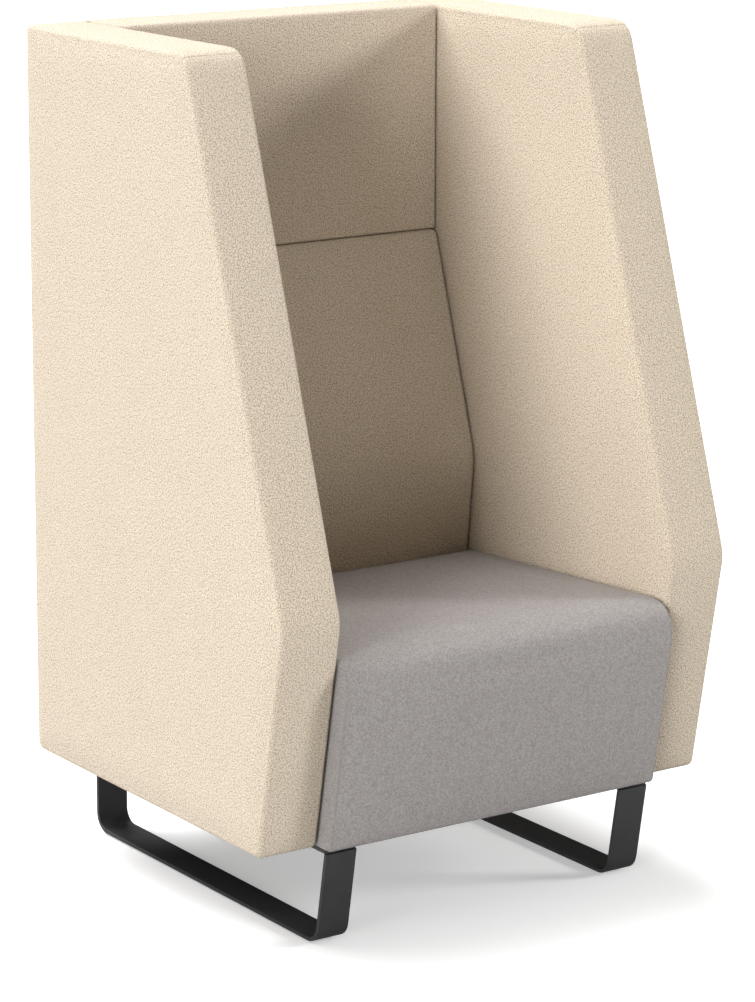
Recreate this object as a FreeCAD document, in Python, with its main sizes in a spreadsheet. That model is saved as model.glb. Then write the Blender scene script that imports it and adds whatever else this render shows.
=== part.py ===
import FreeCAD, Part
import os
import Sketcher

doc = FreeCAD.newDocument("high_back_sofa")
sheet = doc.addObject("Spreadsheet::Sheet", "Sizes")

# Driving dimensions in millimetres and degrees; depths run forward from the rear face
sizes = {
    "overall_width": 815,
    "height": 1312,
    "depth": 732,
    "base_height": 156,
    "cover_cloth": 2,
    "soft_gap": 0.3,
    "seam_gap": 1,
    "side_thickness": 107.5,
    "side_top_depth": 470,
    "side_apex_setback": 8,
    "side_apex_height": 512,
    "side_bottom_setback": 75,
    "side_foam": 18.5,
    "edge_foam": 18,
    "edge_round": 8,
    "corner_round": 22,
    "apex_round": 60,
    "outer_board": 4,
    "inner_board": 9,
    "side_rail": 32,
    "rear_board": 4,
    "rear_round": 4,
    "back_frame": 52,
    "back_rail": 45,
    "head_board": 6,
    "head_face_depth": 104,
    "seam_height": 944.5,
    "cushion_round": 6,
    "webbing": 2,
    "webbing_width": 50,
    "webbing_margin": 60,
    "webbing_count": 6,
    "webbing_hold": 15,
    "lumbar_top_depth": 111,
    "lumbar_apex_depth": 223,
    "lumbar_apex_height": 587,
    "lumbar_base_depth": 205,
    "lumbar_base_height": 424,
    "lumbar_round": 10,
    "seat_height": 456,
    "seat_pitch": 2.9,
    "seat_lean": 9.8,
    "nose_round": 46,
    "seat_round": 8,
    "seat_rail": 45,
    "seat_board": 25,
    "seat_frame_height": 172,
    "front_foam": 15,
    "dust_cloth": 2,
    "corner_block": 40,
    "corner_block_drop": 20,
    "spring_wire": 4,
    "spring_width": 44,
    "spring_pitch": 22,
    "spring_count": 5,
    "clip_sheet": 1.5,
    "clip_width": 18,
    "clip_reach": 6,
    "wire_clearance": 0.2,
    "felt": 6,
    "bar_width": 54,
    "bar_thickness": 6,
    "sled_inset": 2,
    "sled_bend": 30,
    "leg_setback": 87,
    "leg_rear_depth": 3,
    "leg_lean": 10.2,
    "glide_height": 3,
    "glide_diameter": 36,
    "glide_stem": 8,
    "glide_margin": 55,
    "bolt_diameter": 8,
    "bolt_head_diameter": 16,
    "bolt_head_height": 5,
    "bolt_tail": 3,
    "drill_clearance": 0.5,
    "thread_clearance": 0.2,
    "tee_flange_diameter": 22,
    "tee_flange": 2,
    "tee_barrel_diameter": 10,
    "tee_barrel_spare": 1,
    "insert_diameter": 12,
    "insert_length": 20,
    "seat_bolt_margin": 110,
    "back_bolt_margin": 110,
    "leg_bolt_margin": 75,
    "frame_bolt_margin": 90,
    "bolt_row_count": 3,
}
for row, (name, number) in enumerate(sizes.items(), start=1):
    sheet.set("A%d" % row, name)
    sheet.set("B%d" % row, str(number))
    sheet.setAlias("B%d" % row, name)
doc.recompute()

nodes = []
# Two places closer than this are the same place
touch = 0.01


def value(expression):
    return float(sheet.evalExpression(expression))


def node(piece, label):
    piece.Label = label
    nodes.append(piece)
    return piece


# Sizes worked out from the driving ones
cloth = "Sizes.cover_cloth"
skin = "(Sizes.cover_cloth + Sizes.soft_gap)"
opening_half = "(Sizes.overall_width / 2 - Sizes.side_thickness)"
cushion_half = f"({opening_half} - Sizes.seam_gap)"
rail_half = f"({opening_half} - {cloth})"
rail_inside = f"({rail_half} - Sizes.seat_rail)"
stile_inside = f"({opening_half} - Sizes.back_rail)"
side_layer = f"({cloth} + Sizes.side_foam)"
side_edge = f"({cloth} + Sizes.edge_foam)"
side_core = f"(Sizes.side_thickness - 2 * {side_layer})"
side_frame = f"({side_core} - Sizes.outer_board - Sizes.inner_board)"
side_bottom = f"(Sizes.base_height + {skin})"
side_top = f"(Sizes.height - {side_edge})"
back_rear = f"({skin} + Sizes.rear_board)"
back_front = f"({back_rear} + Sizes.back_frame)"
back_top = f"(Sizes.height - {side_edge})"
head_bottom = "(Sizes.seam_height + Sizes.seam_gap / 2)"
lumbar_top = "(Sizes.seam_height - Sizes.seam_gap / 2)"
frame_bottom = "(Sizes.base_height + Sizes.dust_cloth)"
rail_top = f"({frame_bottom} + Sizes.seat_frame_height)"
spring_plane = f"({rail_top} + Sizes.clip_sheet + Sizes.wire_clearance + Sizes.spring_wire / 2)"
felt_bottom = f"({spring_plane} + Sizes.spring_wire / 2 + Sizes.wire_clearance + Sizes.clip_sheet)"
foam_bottom = f"({felt_bottom} + Sizes.felt)"
lumbar_bottom = f"({foam_bottom} + Sizes.soft_gap)"
bar_outside = f"({opening_half} - Sizes.sled_inset)"
bar_middle = f"({bar_outside} - Sizes.bar_width / 2)"
bar_bottom = "Sizes.glide_height"
bar_top = f"({bar_bottom} + Sizes.bar_thickness)"
top_bar_bottom = "(Sizes.base_height - Sizes.bar_thickness)"
bolt_hole = "(Sizes.bolt_diameter + Sizes.drill_clearance)"
overshoot = "Sizes.bolt_head_height"


class KinkedFront:
    # A front edge of two straight runs that meet at an apex; inset is measured square to each run
    def __init__(self, apex_depth, apex_height, low_depth, low_height, high_depth, high_height):
        self.apex_depth = apex_depth
        self.apex_height = apex_height
        self.low_slope = f"(({apex_depth} - {low_depth}) / ({apex_height} - {low_height}))"
        self.high_slope = f"(({apex_depth} - {high_depth}) / ({high_height} - {apex_height}))"
        self.low_stretch = f"sqrt(1 + {self.low_slope}^2)"
        self.high_stretch = f"sqrt(1 + {self.high_slope}^2)"

    def low(self, height, inset="0"):
        drop = f"({self.apex_height} - {height}) * {self.low_slope}"
        return f"({self.apex_depth} - {drop} - {inset} * {self.low_stretch})"

    def high(self, height, inset="0"):
        drop = f"({height} - {self.apex_height}) * {self.high_slope}"
        return f"({self.apex_depth} - {drop} - {inset} * {self.high_stretch})"

    def apex(self, inset="0"):
        lift = f"({self.low_stretch} - {self.high_stretch}) / ({self.low_slope} + {self.high_slope})"
        height = f"({self.apex_height} + {inset} * {lift})"
        return (self.low(height, inset), height)


side_front = KinkedFront(
    "(Sizes.depth - Sizes.side_apex_setback)", "Sizes.side_apex_height",
    "(Sizes.depth - Sizes.side_bottom_setback)", "Sizes.base_height",
    "Sizes.side_top_depth", "Sizes.height")
lumbar_front = KinkedFront(
    "Sizes.lumbar_apex_depth", "Sizes.lumbar_apex_height",
    "Sizes.lumbar_base_depth", "Sizes.lumbar_base_height",
    "Sizes.lumbar_top_depth", "Sizes.seam_height")

# The seat's top and front lines are tangent to the nose circle
nose_depth = "(Sizes.depth - Sizes.nose_round)"
nose_height = "(Sizes.seat_height - Sizes.nose_round)"
nose_reach = "tan((90 + Sizes.seat_pitch + Sizes.seat_lean) / 2)"


def seat_corner(inset):
    radius = f"(Sizes.nose_round - {inset})"
    depth = f"({nose_depth} + {radius} * ({nose_reach} * cos(Sizes.seat_pitch) - sin(Sizes.seat_pitch)))"
    height = f"({nose_height} + {radius} * ({nose_reach} * sin(Sizes.seat_pitch) + cos(Sizes.seat_pitch)))"
    return (depth, height)


def seat_top(depth, inset="0"):
    corner = seat_corner(inset)
    return f"({corner[1]} - ({corner[0]} - {depth}) * tan(Sizes.seat_pitch))"


def seat_front(height, inset="0"):
    corner = seat_corner(inset)
    return f"({corner[0]} - ({corner[1]} - {height}) * tan(Sizes.seat_lean))"


def leg_front(height, inset="0"):
    foot = "(Sizes.depth - Sizes.leg_setback)"
    return f"({foot} + {height} * tan(Sizes.leg_lean) - {inset} / cos(Sizes.leg_lean))"


seat_rear = f"({lumbar_front.low('Sizes.seat_height')} + Sizes.soft_gap)"
front_rail_inset = f"({skin} + (Sizes.front_foam + Sizes.seat_board) * cos(Sizes.seat_lean))"
front_foam_inset = f"({skin} + Sizes.front_foam * cos(Sizes.seat_lean))"


# Ways of making a piece
def origin_plane(body, role):
    return [plane for plane in body.Origin.OriginFeatures if plane.Role == role][0]


def bind_point(sketch, line, across, up):
    for kind, expression in (("DistanceX", across), ("DistanceY", up)):
        constraint = Sketcher.Constraint(kind, -1, 1, line, 1, value(expression))
        index = sketch.addConstraint(constraint)
        sketch.setExpression("Constraints[%d]" % index, expression)


def draw_polygon(sketch, corners):
    points = [FreeCAD.Vector(value(across), value(up), 0) for across, up in corners]
    count = len(points)
    for line in range(count):
        sketch.addGeometry(Part.LineSegment(points[line], points[(line + 1) % count]))
    for line in range(count):
        sketch.addConstraint(Sketcher.Constraint("Coincident", line, 2, (line + 1) % count, 1))
    for line, (across, up) in enumerate(corners):
        bind_point(sketch, line, across, up)


def new_sketch(body, role, corners):
    sketch = body.newObject("Sketcher::SketchObject", body.Name + "_outline")
    sketch.AttachmentSupport = [(origin_plane(body, role), "")]
    sketch.MapMode = "FlatFace"
    draw_polygon(sketch, corners)
    return sketch


def prism(name, outline, start, end):
    # An outline of depths and heights carried across the width from start to end
    body = doc.addObject("PartDesign::Body", name)
    sketch = new_sketch(body, "YZ_Plane", [(f"-({depth})", height) for depth, height in outline])
    pad = body.newObject("PartDesign::Pad", name + "_pad")
    pad.Profile = sketch
    pad.setExpression("Length", f"({end}) - ({start})")
    body.setExpression("Placement.Base.x", start)
    body.setExpression("Placement.Base.y", "Sizes.depth / 2")
    doc.recompute()
    return body


def box(name, start, end, rear, front, low, high):
    block = doc.addObject("Part::Box", name)
    block.setExpression("Length", f"({end}) - ({start})")
    block.setExpression("Width", f"({front}) - ({rear})")
    block.setExpression("Height", f"({high}) - ({low})")
    block.setExpression("Placement.Base.x", start)
    block.setExpression("Placement.Base.y", f"Sizes.depth / 2 - ({front})")
    block.setExpression("Placement.Base.z", low)
    return block


def turned(name, half_profile):
    # A half profile of radii and heights turned about the upright axis
    body = doc.addObject("PartDesign::Body", name)
    sketch = new_sketch(body, "XZ_Plane", half_profile)
    revolution = body.newObject("PartDesign::Revolution", name + "_turn")
    revolution.Profile = sketch
    revolution.ReferenceAxis = (sketch, ["V_Axis"])
    revolution.Angle = 360
    doc.recompute()
    return body


def round_edges(body, radius, chosen):
    tip = body.Tip
    names = ["Edge%d" % index for index, edge in enumerate(tip.Shape.Edges, start=1) if chosen(edge)]
    fillet = body.newObject("PartDesign::Fillet", body.Name + "_round")
    fillet.Base = (tip, names)
    fillet.setExpression("Radius", radius)
    doc.recompute()


def width_edge(*corners):
    # Picks the edges that run across the width at the given corners of the outline
    places = [(-value(depth), value(height)) for depth, height in corners]

    def chosen(edge):
        middle = edge.CenterOfMass
        along = edge.tangentAt(edge.FirstParameter)
        if abs(along.y) + abs(along.z) > touch:
            return False
        return any(abs(middle.y - y) + abs(middle.z - z) < touch for y, z in places)
    return chosen


def end_edge(body, near=True, far=True, front_of=None):
    # Picks the edges round the ends of a prism, those in front of a depth where one is given
    limits = body.Tip.Shape.BoundBox

    def chosen(edge):
        span = edge.BoundBox
        at_near = near and span.XMax < limits.XMin + touch
        at_far = far and span.XMin > limits.XMax - touch
        ahead = front_of is None or span.YMax < -value(front_of) - touch
        return (at_near or at_far) and ahead
    return chosen


def cut(label, base, *tools):
    piece = base
    for index, tool in enumerate(tools):
        result = doc.addObject("Part::Cut", "%s_cut_%d" % (label, index))
        result.Base = piece
        result.Tool = tool
        piece = result
    doc.recompute()
    return node(piece, label)


def compound(name, pieces):
    group = doc.addObject("Part::Compound", name)
    group.Links = pieces
    return group


def copies(label, master, placements):
    # Separate copies of one fastener or fitting, each at its own place
    group = doc.addObject("Part::Feature", label)
    shapes = []
    for placement in placements:
        shape = master.Shape.copy()
        shape.Placement = placement.multiply(shape.Placement)
        shapes.append(shape)
    group.Shape = Part.makeCompound(shapes)
    group.Placement = FreeCAD.Placement()
    return node(group, label)


def drill(name, diameter, length, base, axis):
    hole = doc.addObject("Part::Cylinder", name)
    hole.Placement = FreeCAD.Placement(FreeCAD.Vector(), FreeCAD.Rotation(FreeCAD.Vector(0, 0, 1), axis))
    hole.setExpression("Radius", f"{diameter} / 2")
    hole.setExpression("Height", length)
    for letter, expression in zip("xyz", base):
        hole.setExpression("Placement.Base." + letter, expression)
    return hole


def row_places(start, end, margin, count):
    # Evenly spaced places between two ends, a margin in from each
    last = int(round(value(count))) - 1
    step = f"(({end}) - ({start}) - 2 * {margin}) / {last}"
    return [f"(({start}) + {margin} + {index} * {step})" for index in range(last + 1)]


def placed(across, depth, up, axis):
    base = FreeCAD.Vector(value(across), value(f"Sizes.depth / 2 - ({depth})"), value(up))
    return FreeCAD.Placement(base, FreeCAD.Rotation(FreeCAD.Vector(0, 0, 1), axis))


left = FreeCAD.Vector(-1, 0, 0)
right = FreeCAD.Vector(1, 0, 0)
rearward = FreeCAD.Vector(0, 1, 0)
upward = FreeCAD.Vector(0, 0, 1)
outward = {"left": left, "right": right}
hand = {"left": "-1", "right": "1"}

# Where the bolts go
side_rail_front = seat_front(frame_bottom, front_rail_inset)
seat_bolt_depths = row_places(back_front, side_rail_front, "Sizes.seat_bolt_margin", "Sizes.bolt_row_count")
seat_bolt_height = f"({frame_bottom} + Sizes.seat_frame_height / 2)"
back_bolt_heights = row_places(foam_bottom, back_top, "Sizes.back_bolt_margin", "Sizes.bolt_row_count")
back_bolt_depth = f"({back_front} - Sizes.tee_flange_diameter / 2)"
leg_bolt_depths = row_places(back_front, side_rail_front, "Sizes.leg_bolt_margin", "Sizes.bolt_row_count")
frame_bolt_places = row_places(
    f"-{rail_inside}", rail_inside, "Sizes.frame_bolt_margin", "Sizes.bolt_row_count")
frame_bolt_height = f"({frame_bottom} + Sizes.back_rail / 2)"
side_bolt_places = [(depth, seat_bolt_height) for depth in seat_bolt_depths]
side_bolt_places += [(back_bolt_depth, height) for height in back_bolt_heights]
tee_seat = f"({opening_half} + {side_layer} + Sizes.inner_board)"
sides = ("left", "right")
glide_depths = (
    "(Sizes.leg_rear_depth + Sizes.glide_margin)",
    f"({leg_front(bar_bottom)} - Sizes.glide_margin)")


def side_drills(name, side, diameter):
    # Holes across the joint between a side panel and the seat or back frame
    length = f"({tee_seat} - {stile_inside} + 2 * Sizes.seat_rail)"
    holes = []
    for index, (depth, height) in enumerate(side_bolt_places):
        base = (f"{hand[side]} * ({stile_inside} - Sizes.seat_rail)", f"Sizes.depth / 2 - {depth}", height)
        holes.append(drill("%s_%s_%d" % (side, name, index), diameter, length, base, outward[side]))
    return compound("%s_%s" % (side, name), holes)


def leg_drills(side, name, diameter, low, high):
    # Holes up through what the leg bolts join
    holes = []
    for index, depth in enumerate(leg_bolt_depths):
        base = (f"{hand[side]} * {bar_middle}", f"Sizes.depth / 2 - {depth}", low)
        holes.append(drill("%s_%s_%d" % (side, name, index), diameter, f"{high} - {low}", base, upward))
    return compound("%s_%s" % (side, name), holes)


bolt_drills = {side: side_drills("bolt_drills", side, bolt_hole) for side in sides}
tee_drills = {side: side_drills("tee_drills", side, "Sizes.tee_barrel_diameter") for side in sides}
insert_top = f"({frame_bottom} + Sizes.insert_length)"
under_bar = f"({top_bar_bottom} - {overshoot})"
insert_drills = {side: leg_drills(side, "insert_drills", "Sizes.insert_diameter", under_bar, insert_top)
                 for side in sides}
leg_bolt_drills = {side: leg_drills(side, "leg_bolt_drills", bolt_hole, under_bar, insert_top)
                   for side in sides}


# Side panels
def side_span(side, offset, thickness):
    # Left and right ends of a layer that lies a given offset in from the outer face
    if side == "left":
        start = f"(-Sizes.overall_width / 2 + {offset})"
    else:
        start = f"(Sizes.overall_width / 2 - {offset} - {thickness})"
    return start, f"({start} + {thickness})"


def side_outline(inset):
    bottom = f"(Sizes.base_height + {inset})"
    top = f"(Sizes.height - {inset})"
    return [(inset, bottom), (side_front.low(bottom, inset), bottom), side_front.apex(inset),
            (side_front.high(top, inset), top), (inset, top)]


def rounded_side(name, side, inset, offset, thickness, near, far):
    # The panel's outline at an inset, its corners rounded and the chosen faces rolled over at their edges
    outline = side_outline(inset)
    body = prism(name, outline, *side_span(side, offset, thickness))
    corners = [outline[0], outline[1], outline[3], outline[4]]
    round_edges(body, f"Sizes.corner_round - {inset}", width_edge(*corners))
    round_edges(body, f"Sizes.apex_round - {inset}", width_edge(outline[2]))
    round_edges(body, f"Sizes.edge_round - {inset}", end_edge(body, near, far))
    return body


def side_cover(side):
    outside = rounded_side(side + "_side_outside", side, "0", "0", "Sizes.side_thickness", True, True)
    hollow_width = f"(Sizes.side_thickness - 2 * {cloth})"
    hollow = rounded_side(side + "_side_hollow", side, cloth, cloth, hollow_width, True, True)
    cut(side + "_side_cover", outside, hollow, bolt_drills[side])


def side_padding(side):
    outer_on_near = side == "left"
    padding = "(Sizes.side_foam - Sizes.soft_gap)"
    faces = (outer_on_near, not outer_on_near)
    outer = rounded_side(side + "_side_outer_pad", side, skin, skin, padding, *faces)
    node(outer, side + "_side_outer_foam")

    top = f"(Sizes.height - {skin})"
    joint_front = f"({side_edge} + Sizes.side_rail)"
    bottom = "(Sizes.base_height + Sizes.corner_round)"
    inner_outline = [
        (side_front.low(bottom, joint_front), bottom), (side_front.low(bottom, skin), bottom),
        side_front.apex(skin), (side_front.high(top, skin), top), (back_front, top),
        (back_front, foam_bottom), (side_front.low(foam_bottom, joint_front), foam_bottom)]
    inner_offset = f"(Sizes.side_thickness - {side_layer})"
    inner = prism(side + "_side_inner_pad", inner_outline, *side_span(side, inner_offset, padding))
    round_edges(inner, f"Sizes.corner_round - {skin}", width_edge(inner_outline[3]))
    round_edges(inner, f"Sizes.apex_round - {skin}", width_edge(inner_outline[2]))
    rolled = end_edge(inner, not outer_on_near, outer_on_near)
    joint_line = -value(inner_outline[6][0])
    joint_top = value(foam_bottom)

    def visible(edge):
        # Not the edges that meet the joint board or end at the panel's bottom
        span = edge.BoundBox
        upright = span.YMax - span.YMin < touch
        beside_joint = span.ZMax < joint_top + touch and span.YMax > joint_line - touch
        below_joint = span.ZMax < joint_top - touch and span.ZMax - span.ZMin < touch
        return rolled(edge) and not upright and not beside_joint and not below_joint
    round_edges(inner, f"Sizes.edge_round - {skin}", visible)
    node(inner, side + "_side_inner_foam")

    edge_outline = [
        (side_front.low(bottom, skin), bottom), side_front.apex(skin),
        (side_front.high(top, skin), top), ("Sizes.corner_round", top), ("Sizes.corner_round", side_top),
        (side_front.high(side_top, side_edge), side_top), side_front.apex(side_edge),
        (side_front.low(bottom, side_edge), bottom)]
    edge = prism(side + "_side_edge_pad", edge_outline, *side_span(side, side_layer, side_core))
    round_edges(edge, f"Sizes.corner_round - {skin}", width_edge(edge_outline[2]))
    round_edges(edge, f"Sizes.apex_round - {skin}", width_edge(edge_outline[1]))
    node(edge, side + "_side_edge_foam")


def side_boards(side):
    board = [
        (skin, side_bottom), (side_front.low(side_bottom, side_edge), side_bottom),
        side_front.apex(side_edge), (side_front.high(side_top, side_edge), side_top), (skin, side_top)]
    lower_corner = f"Sizes.corner_round - {skin}"
    outer = prism(side + "_outer_sheet", board, *side_span(side, side_layer, "Sizes.outer_board"))
    round_edges(outer, lower_corner, width_edge(board[0]))
    node(outer, side + "_side_outer_board")
    inner_offset = f"(Sizes.side_thickness - {side_layer} - Sizes.inner_board)"
    inner = prism(side + "_inner_sheet", board, *side_span(side, inner_offset, "Sizes.inner_board"))
    round_edges(inner, lower_corner, width_edge(board[0]))
    cut(side + "_side_inner_board", inner, tee_drills[side])

    inset = f"({side_edge} + Sizes.side_rail)"
    bottom = "(Sizes.base_height + Sizes.corner_round)"
    joint = [
        ("Sizes.corner_round", bottom), (side_front.low(bottom, inset), bottom),
        (side_front.low(foam_bottom, inset), foam_bottom), (back_front, foam_bottom),
        (back_front, side_top), ("Sizes.corner_round", side_top)]
    joint_offset = f"(Sizes.side_thickness - {side_layer})"
    panel = prism(side + "_joint_sheet", joint, *side_span(side, joint_offset, "Sizes.side_foam"))
    cut(side + "_side_joint_board", panel, bolt_drills[side])


def side_rails(side):
    span = side_span(side, f"({side_layer} + Sizes.outer_board)", side_frame)
    rail = "Sizes.side_rail"
    rear = f"({skin} + {rail})"
    inset = f"({side_edge} + {rail})"
    rail_low = f"({side_bottom} + {rail})"
    rail_high = f"({side_top} - {rail})"
    stile = [(skin, side_bottom), (rear, side_bottom), (rear, side_top), (skin, side_top)]
    rear_stile = prism(side + "_rear_post", stile, *span)
    round_edges(rear_stile, f"Sizes.corner_round - {skin}", width_edge(stile[0]))
    node(rear_stile, side + "_side_rear_stile")
    outlines = {
        "front_lower_stile": [
            (side_front.low(side_bottom, inset), side_bottom),
            (side_front.low(side_bottom, side_edge), side_bottom),
            side_front.apex(side_edge), side_front.apex(inset)],
        "front_upper_stile": [
            side_front.apex(inset), side_front.apex(side_edge),
            (side_front.high(side_top, side_edge), side_top), (side_front.high(side_top, inset), side_top)],
        "top_rail": [
            (rear, rail_high), (side_front.high(rail_high, inset), rail_high),
            (side_front.high(side_top, inset), side_top), (rear, side_top)],
        "bottom_rail": [
            (rear, side_bottom), (side_front.low(side_bottom, inset), side_bottom),
            (side_front.low(rail_low, inset), rail_low), (rear, rail_low)],
    }
    for name, outline in outlines.items():
        node(prism("%s_%s" % (side, name), outline, *span), "%s_side_%s" % (side, name))


for side in sides:
    side_cover(side)
    side_padding(side)
    side_boards(side)
    side_rails(side)


# Back
def rear_panel():
    outline = [("0", "Sizes.base_height"), (back_rear, "Sizes.base_height"),
               (back_rear, "Sizes.height"), ("0", "Sizes.height")]
    outside = prism("rear_outside", outline, f"-{cushion_half}", cushion_half)
    round_edges(outside, "Sizes.rear_round", width_edge(outline[0], outline[3]))
    rear_edges = end_edge(outside)
    depth = value(back_rear)

    def on_rear(edge):
        return rear_edges(edge) and edge.BoundBox.YMin > -depth + touch
    round_edges(outside, "Sizes.rear_round - Sizes.soft_gap", on_rear)
    inside = f"({cushion_half} - {cloth})"
    hollow = box("rear_hollow", f"-{inside}", inside, cloth, f"({back_rear} + {cloth})",
                 f"(Sizes.base_height + {cloth})", f"(Sizes.height - {cloth})")
    cut("rear_cover", outside, hollow)
    board = f"({cushion_half} - {skin})"
    node(box("rear_sheet", f"-{board}", board, skin, back_rear, side_bottom, f"(Sizes.height - {skin})"),
         "rear_board")


def back_frame():
    for side in sides:
        ends = [f"{hand[side]} * {stile_inside}", f"{hand[side]} * {opening_half}"]
        if side == "left":
            ends.reverse()
        stile = box(side + "_post", *ends, back_rear, back_front, frame_bottom, back_top)
        cut("back_%s_stile" % side, stile, bolt_drills[side])
    span = (f"-{stile_inside}", stile_inside, back_rear, back_front)
    rail = "Sizes.back_rail"
    node(box("head_rail", *span, f"({back_top} - {rail})", back_top), "back_top_rail")
    node(box("middle_rail", *span, f"(Sizes.seam_height - {rail} / 2)", f"(Sizes.seam_height + {rail} / 2)"),
         "back_seam_rail")
    lower = box("lower_rail", *span, frame_bottom, f"({frame_bottom} + {rail})")
    holes = []
    for index, across in enumerate(frame_bolt_places):
        base = (across, f"Sizes.depth / 2 - {back_front}", frame_bolt_height)
        holes.append(drill("frame_insert_%d" % index, "Sizes.insert_diameter",
                           "Sizes.insert_length", base, rearward))
    cut("back_bottom_rail", lower, compound("frame_insert_drills", holes))


def head_panel():
    front = "Sizes.head_face_depth"
    top = "Sizes.height"
    outline = [(back_front, head_bottom), (front, head_bottom), (front, top),
               (back_rear, top), (back_rear, back_top), (back_front, back_top)]
    outside = prism("head_outside", outline, f"-{cushion_half}", cushion_half)
    round_edges(outside, "Sizes.edge_round", width_edge(outline[2]))
    round_edges(outside, "Sizes.cushion_round", end_edge(outside, front_of=back_front))
    inside = f"({cushion_half} - {cloth})"
    low = f"({head_bottom} + {cloth})"
    deep = f"({front} - {cloth})"
    high = f"({top} - {cloth})"
    behind = f"({back_rear} - {cloth})"
    hollow_outline = [(behind, low), (deep, low), (deep, high), (behind, high)]
    hollow = prism("head_hollow", hollow_outline, f"-{inside}", inside)
    round_edges(hollow, f"Sizes.edge_round - {cloth}", width_edge(hollow_outline[2]))
    cut("head_cover", outside, hollow)

    pad_front = f"({front} - {skin})"
    pad_top = f"({top} - {skin})"
    board_front = f"({back_front} + Sizes.head_board)"
    half = f"({cushion_half} - {skin})"
    base = f"({head_bottom} + {skin})"
    foam_outline = [(board_front, base), (pad_front, base), (pad_front, pad_top),
                    (back_rear, pad_top), (back_rear, back_top), (board_front, back_top)]
    foam = prism("head_pad", foam_outline, f"-{half}", half)
    round_edges(foam, f"Sizes.edge_round - {skin}", width_edge(foam_outline[2]))
    round_edges(foam, f"Sizes.cushion_round - {skin}", end_edge(foam, front_of=board_front))
    node(foam, "head_foam")
    node(box("head_sheet", f"-{half}", half, back_front, board_front, base, back_top), "head_board")


def lumbar_cushion():
    def outline(inset, behind, low, high):
        return [(behind, low), (lumbar_front.low(low, inset), low), lumbar_front.apex(inset),
                (lumbar_front.high(high, inset), high), (behind, high)]

    def rounded(name, points, inset, half, rear):
        body = prism(name, points, f"-{half}", half)
        round_edges(body, f"Sizes.apex_round - {inset}", width_edge(points[2]))
        round_edges(body, f"Sizes.lumbar_round - {inset}", width_edge(points[3]))
        round_edges(body, f"Sizes.cushion_round - {inset}", end_edge(body, front_of=rear))
        return body

    outside = rounded("lumbar_outside", outline("0", back_front, lumbar_bottom, lumbar_top), "0",
                      cushion_half, back_front)
    behind = f"({back_front} - {cloth})"
    hollow_outline = outline(cloth, behind, f"({lumbar_bottom} + {cloth})", f"({lumbar_top} - {cloth})")
    hollow = rounded("lumbar_hollow", hollow_outline, cloth, f"({cushion_half} - {cloth})", behind)
    cut("lumbar_cover", outside, hollow)
    rear = f"({back_front} + Sizes.webbing)"
    foam_outline = outline(skin, rear, f"({lumbar_bottom} + {skin})", f"({lumbar_top} - {skin})")
    foam = rounded("lumbar_pad", foam_outline, skin, f"({cushion_half} - {skin})", rear)
    node(foam, "lumbar_foam")


def back_webbing():
    half = f"({stile_inside} + Sizes.webbing_hold)"
    front = f"({back_front} + Sizes.webbing)"
    straps = []
    heights = row_places(lumbar_bottom, lumbar_top, "Sizes.webbing_margin", "Sizes.webbing_count")
    for index, middle in enumerate(heights):
        low = f"({middle} - Sizes.webbing_width / 2)"
        high = f"({middle} + Sizes.webbing_width / 2)"
        straps.append(box("strap_%d" % index, f"-{half}", half, back_front, front, low, high))
    node(compound("straps", straps), "back_webbing")


rear_panel()
back_frame()
head_panel()
lumbar_cushion()
back_webbing()


# Seat
def seat_frame():
    front_low = seat_front(frame_bottom, front_rail_inset)
    for side in sides:
        ends = [f"{hand[side]} * {rail_inside}", f"{hand[side]} * {rail_half}"]
        if side == "left":
            ends.reverse()
        outline = [(back_front, frame_bottom), (front_low, frame_bottom),
                   (seat_front(rail_top, front_rail_inset), rail_top),
                   (seat_front(rail_top, front_rail_inset), foam_bottom), (back_front, foam_bottom)]
        rail = prism(side + "_beam", outline, *ends)
        cut("seat_%s_rail" % side, rail, bolt_drills[side], insert_drills[side])
    front = [(front_low, frame_bottom), (seat_front(frame_bottom, front_foam_inset), frame_bottom),
             (seat_front(rail_top, front_foam_inset), rail_top),
             (seat_front(rail_top, front_rail_inset), rail_top)]
    node(prism("front_beam", front, f"-{rail_half}", rail_half), "seat_front_rail")
    rear_front = f"({back_front} + Sizes.seat_board)"
    rear = box("rear_beam", f"-{rail_inside}", rail_inside, back_front, rear_front, frame_bottom, rail_top)
    holes = []
    for index, across in enumerate(frame_bolt_places):
        base = (across, f"Sizes.depth / 2 - {rear_front} - {overshoot}", frame_bolt_height)
        length = f"(Sizes.seat_board + 2 * {overshoot})"
        holes.append(drill("frame_bolt_drill_%d" % index, bolt_hole, length, base, rearward))
    cut("seat_rear_rail", rear, compound("frame_bolt_drills", holes))

    blocks = []
    block_top = f"({rail_top} - Sizes.corner_block_drop)"
    for side in sides:
        ends = [f"{hand[side]} * ({rail_inside} - Sizes.corner_block)", f"{hand[side]} * {rail_inside}"]
        if side == "left":
            ends.reverse()
        rear_limit = f"({rear_front} + Sizes.corner_block)"
        blocks.append(box(side + "_rear_block", *ends, rear_front, rear_limit, frame_bottom, block_top))
        front_high = seat_front(block_top, front_rail_inset)
        outline = [(f"({front_low} - Sizes.corner_block)", frame_bottom), (front_low, frame_bottom),
                   (front_high, block_top), (f"({front_high} - Sizes.corner_block)", block_top)]
        blocks.append(prism(side + "_front_block", outline, *ends))
    node(compound("blocks", blocks), "seat_corner_blocks")


spring_rear = f"({back_front} + Sizes.seat_board / 2)"
spring_front = f"({seat_front(rail_top, front_rail_inset)} + Sizes.seat_board / 2)"
spring_places = row_places(f"-{rail_inside}", rail_inside,
                           f"({rail_inside} / Sizes.spring_count)", "Sizes.spring_count")


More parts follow.
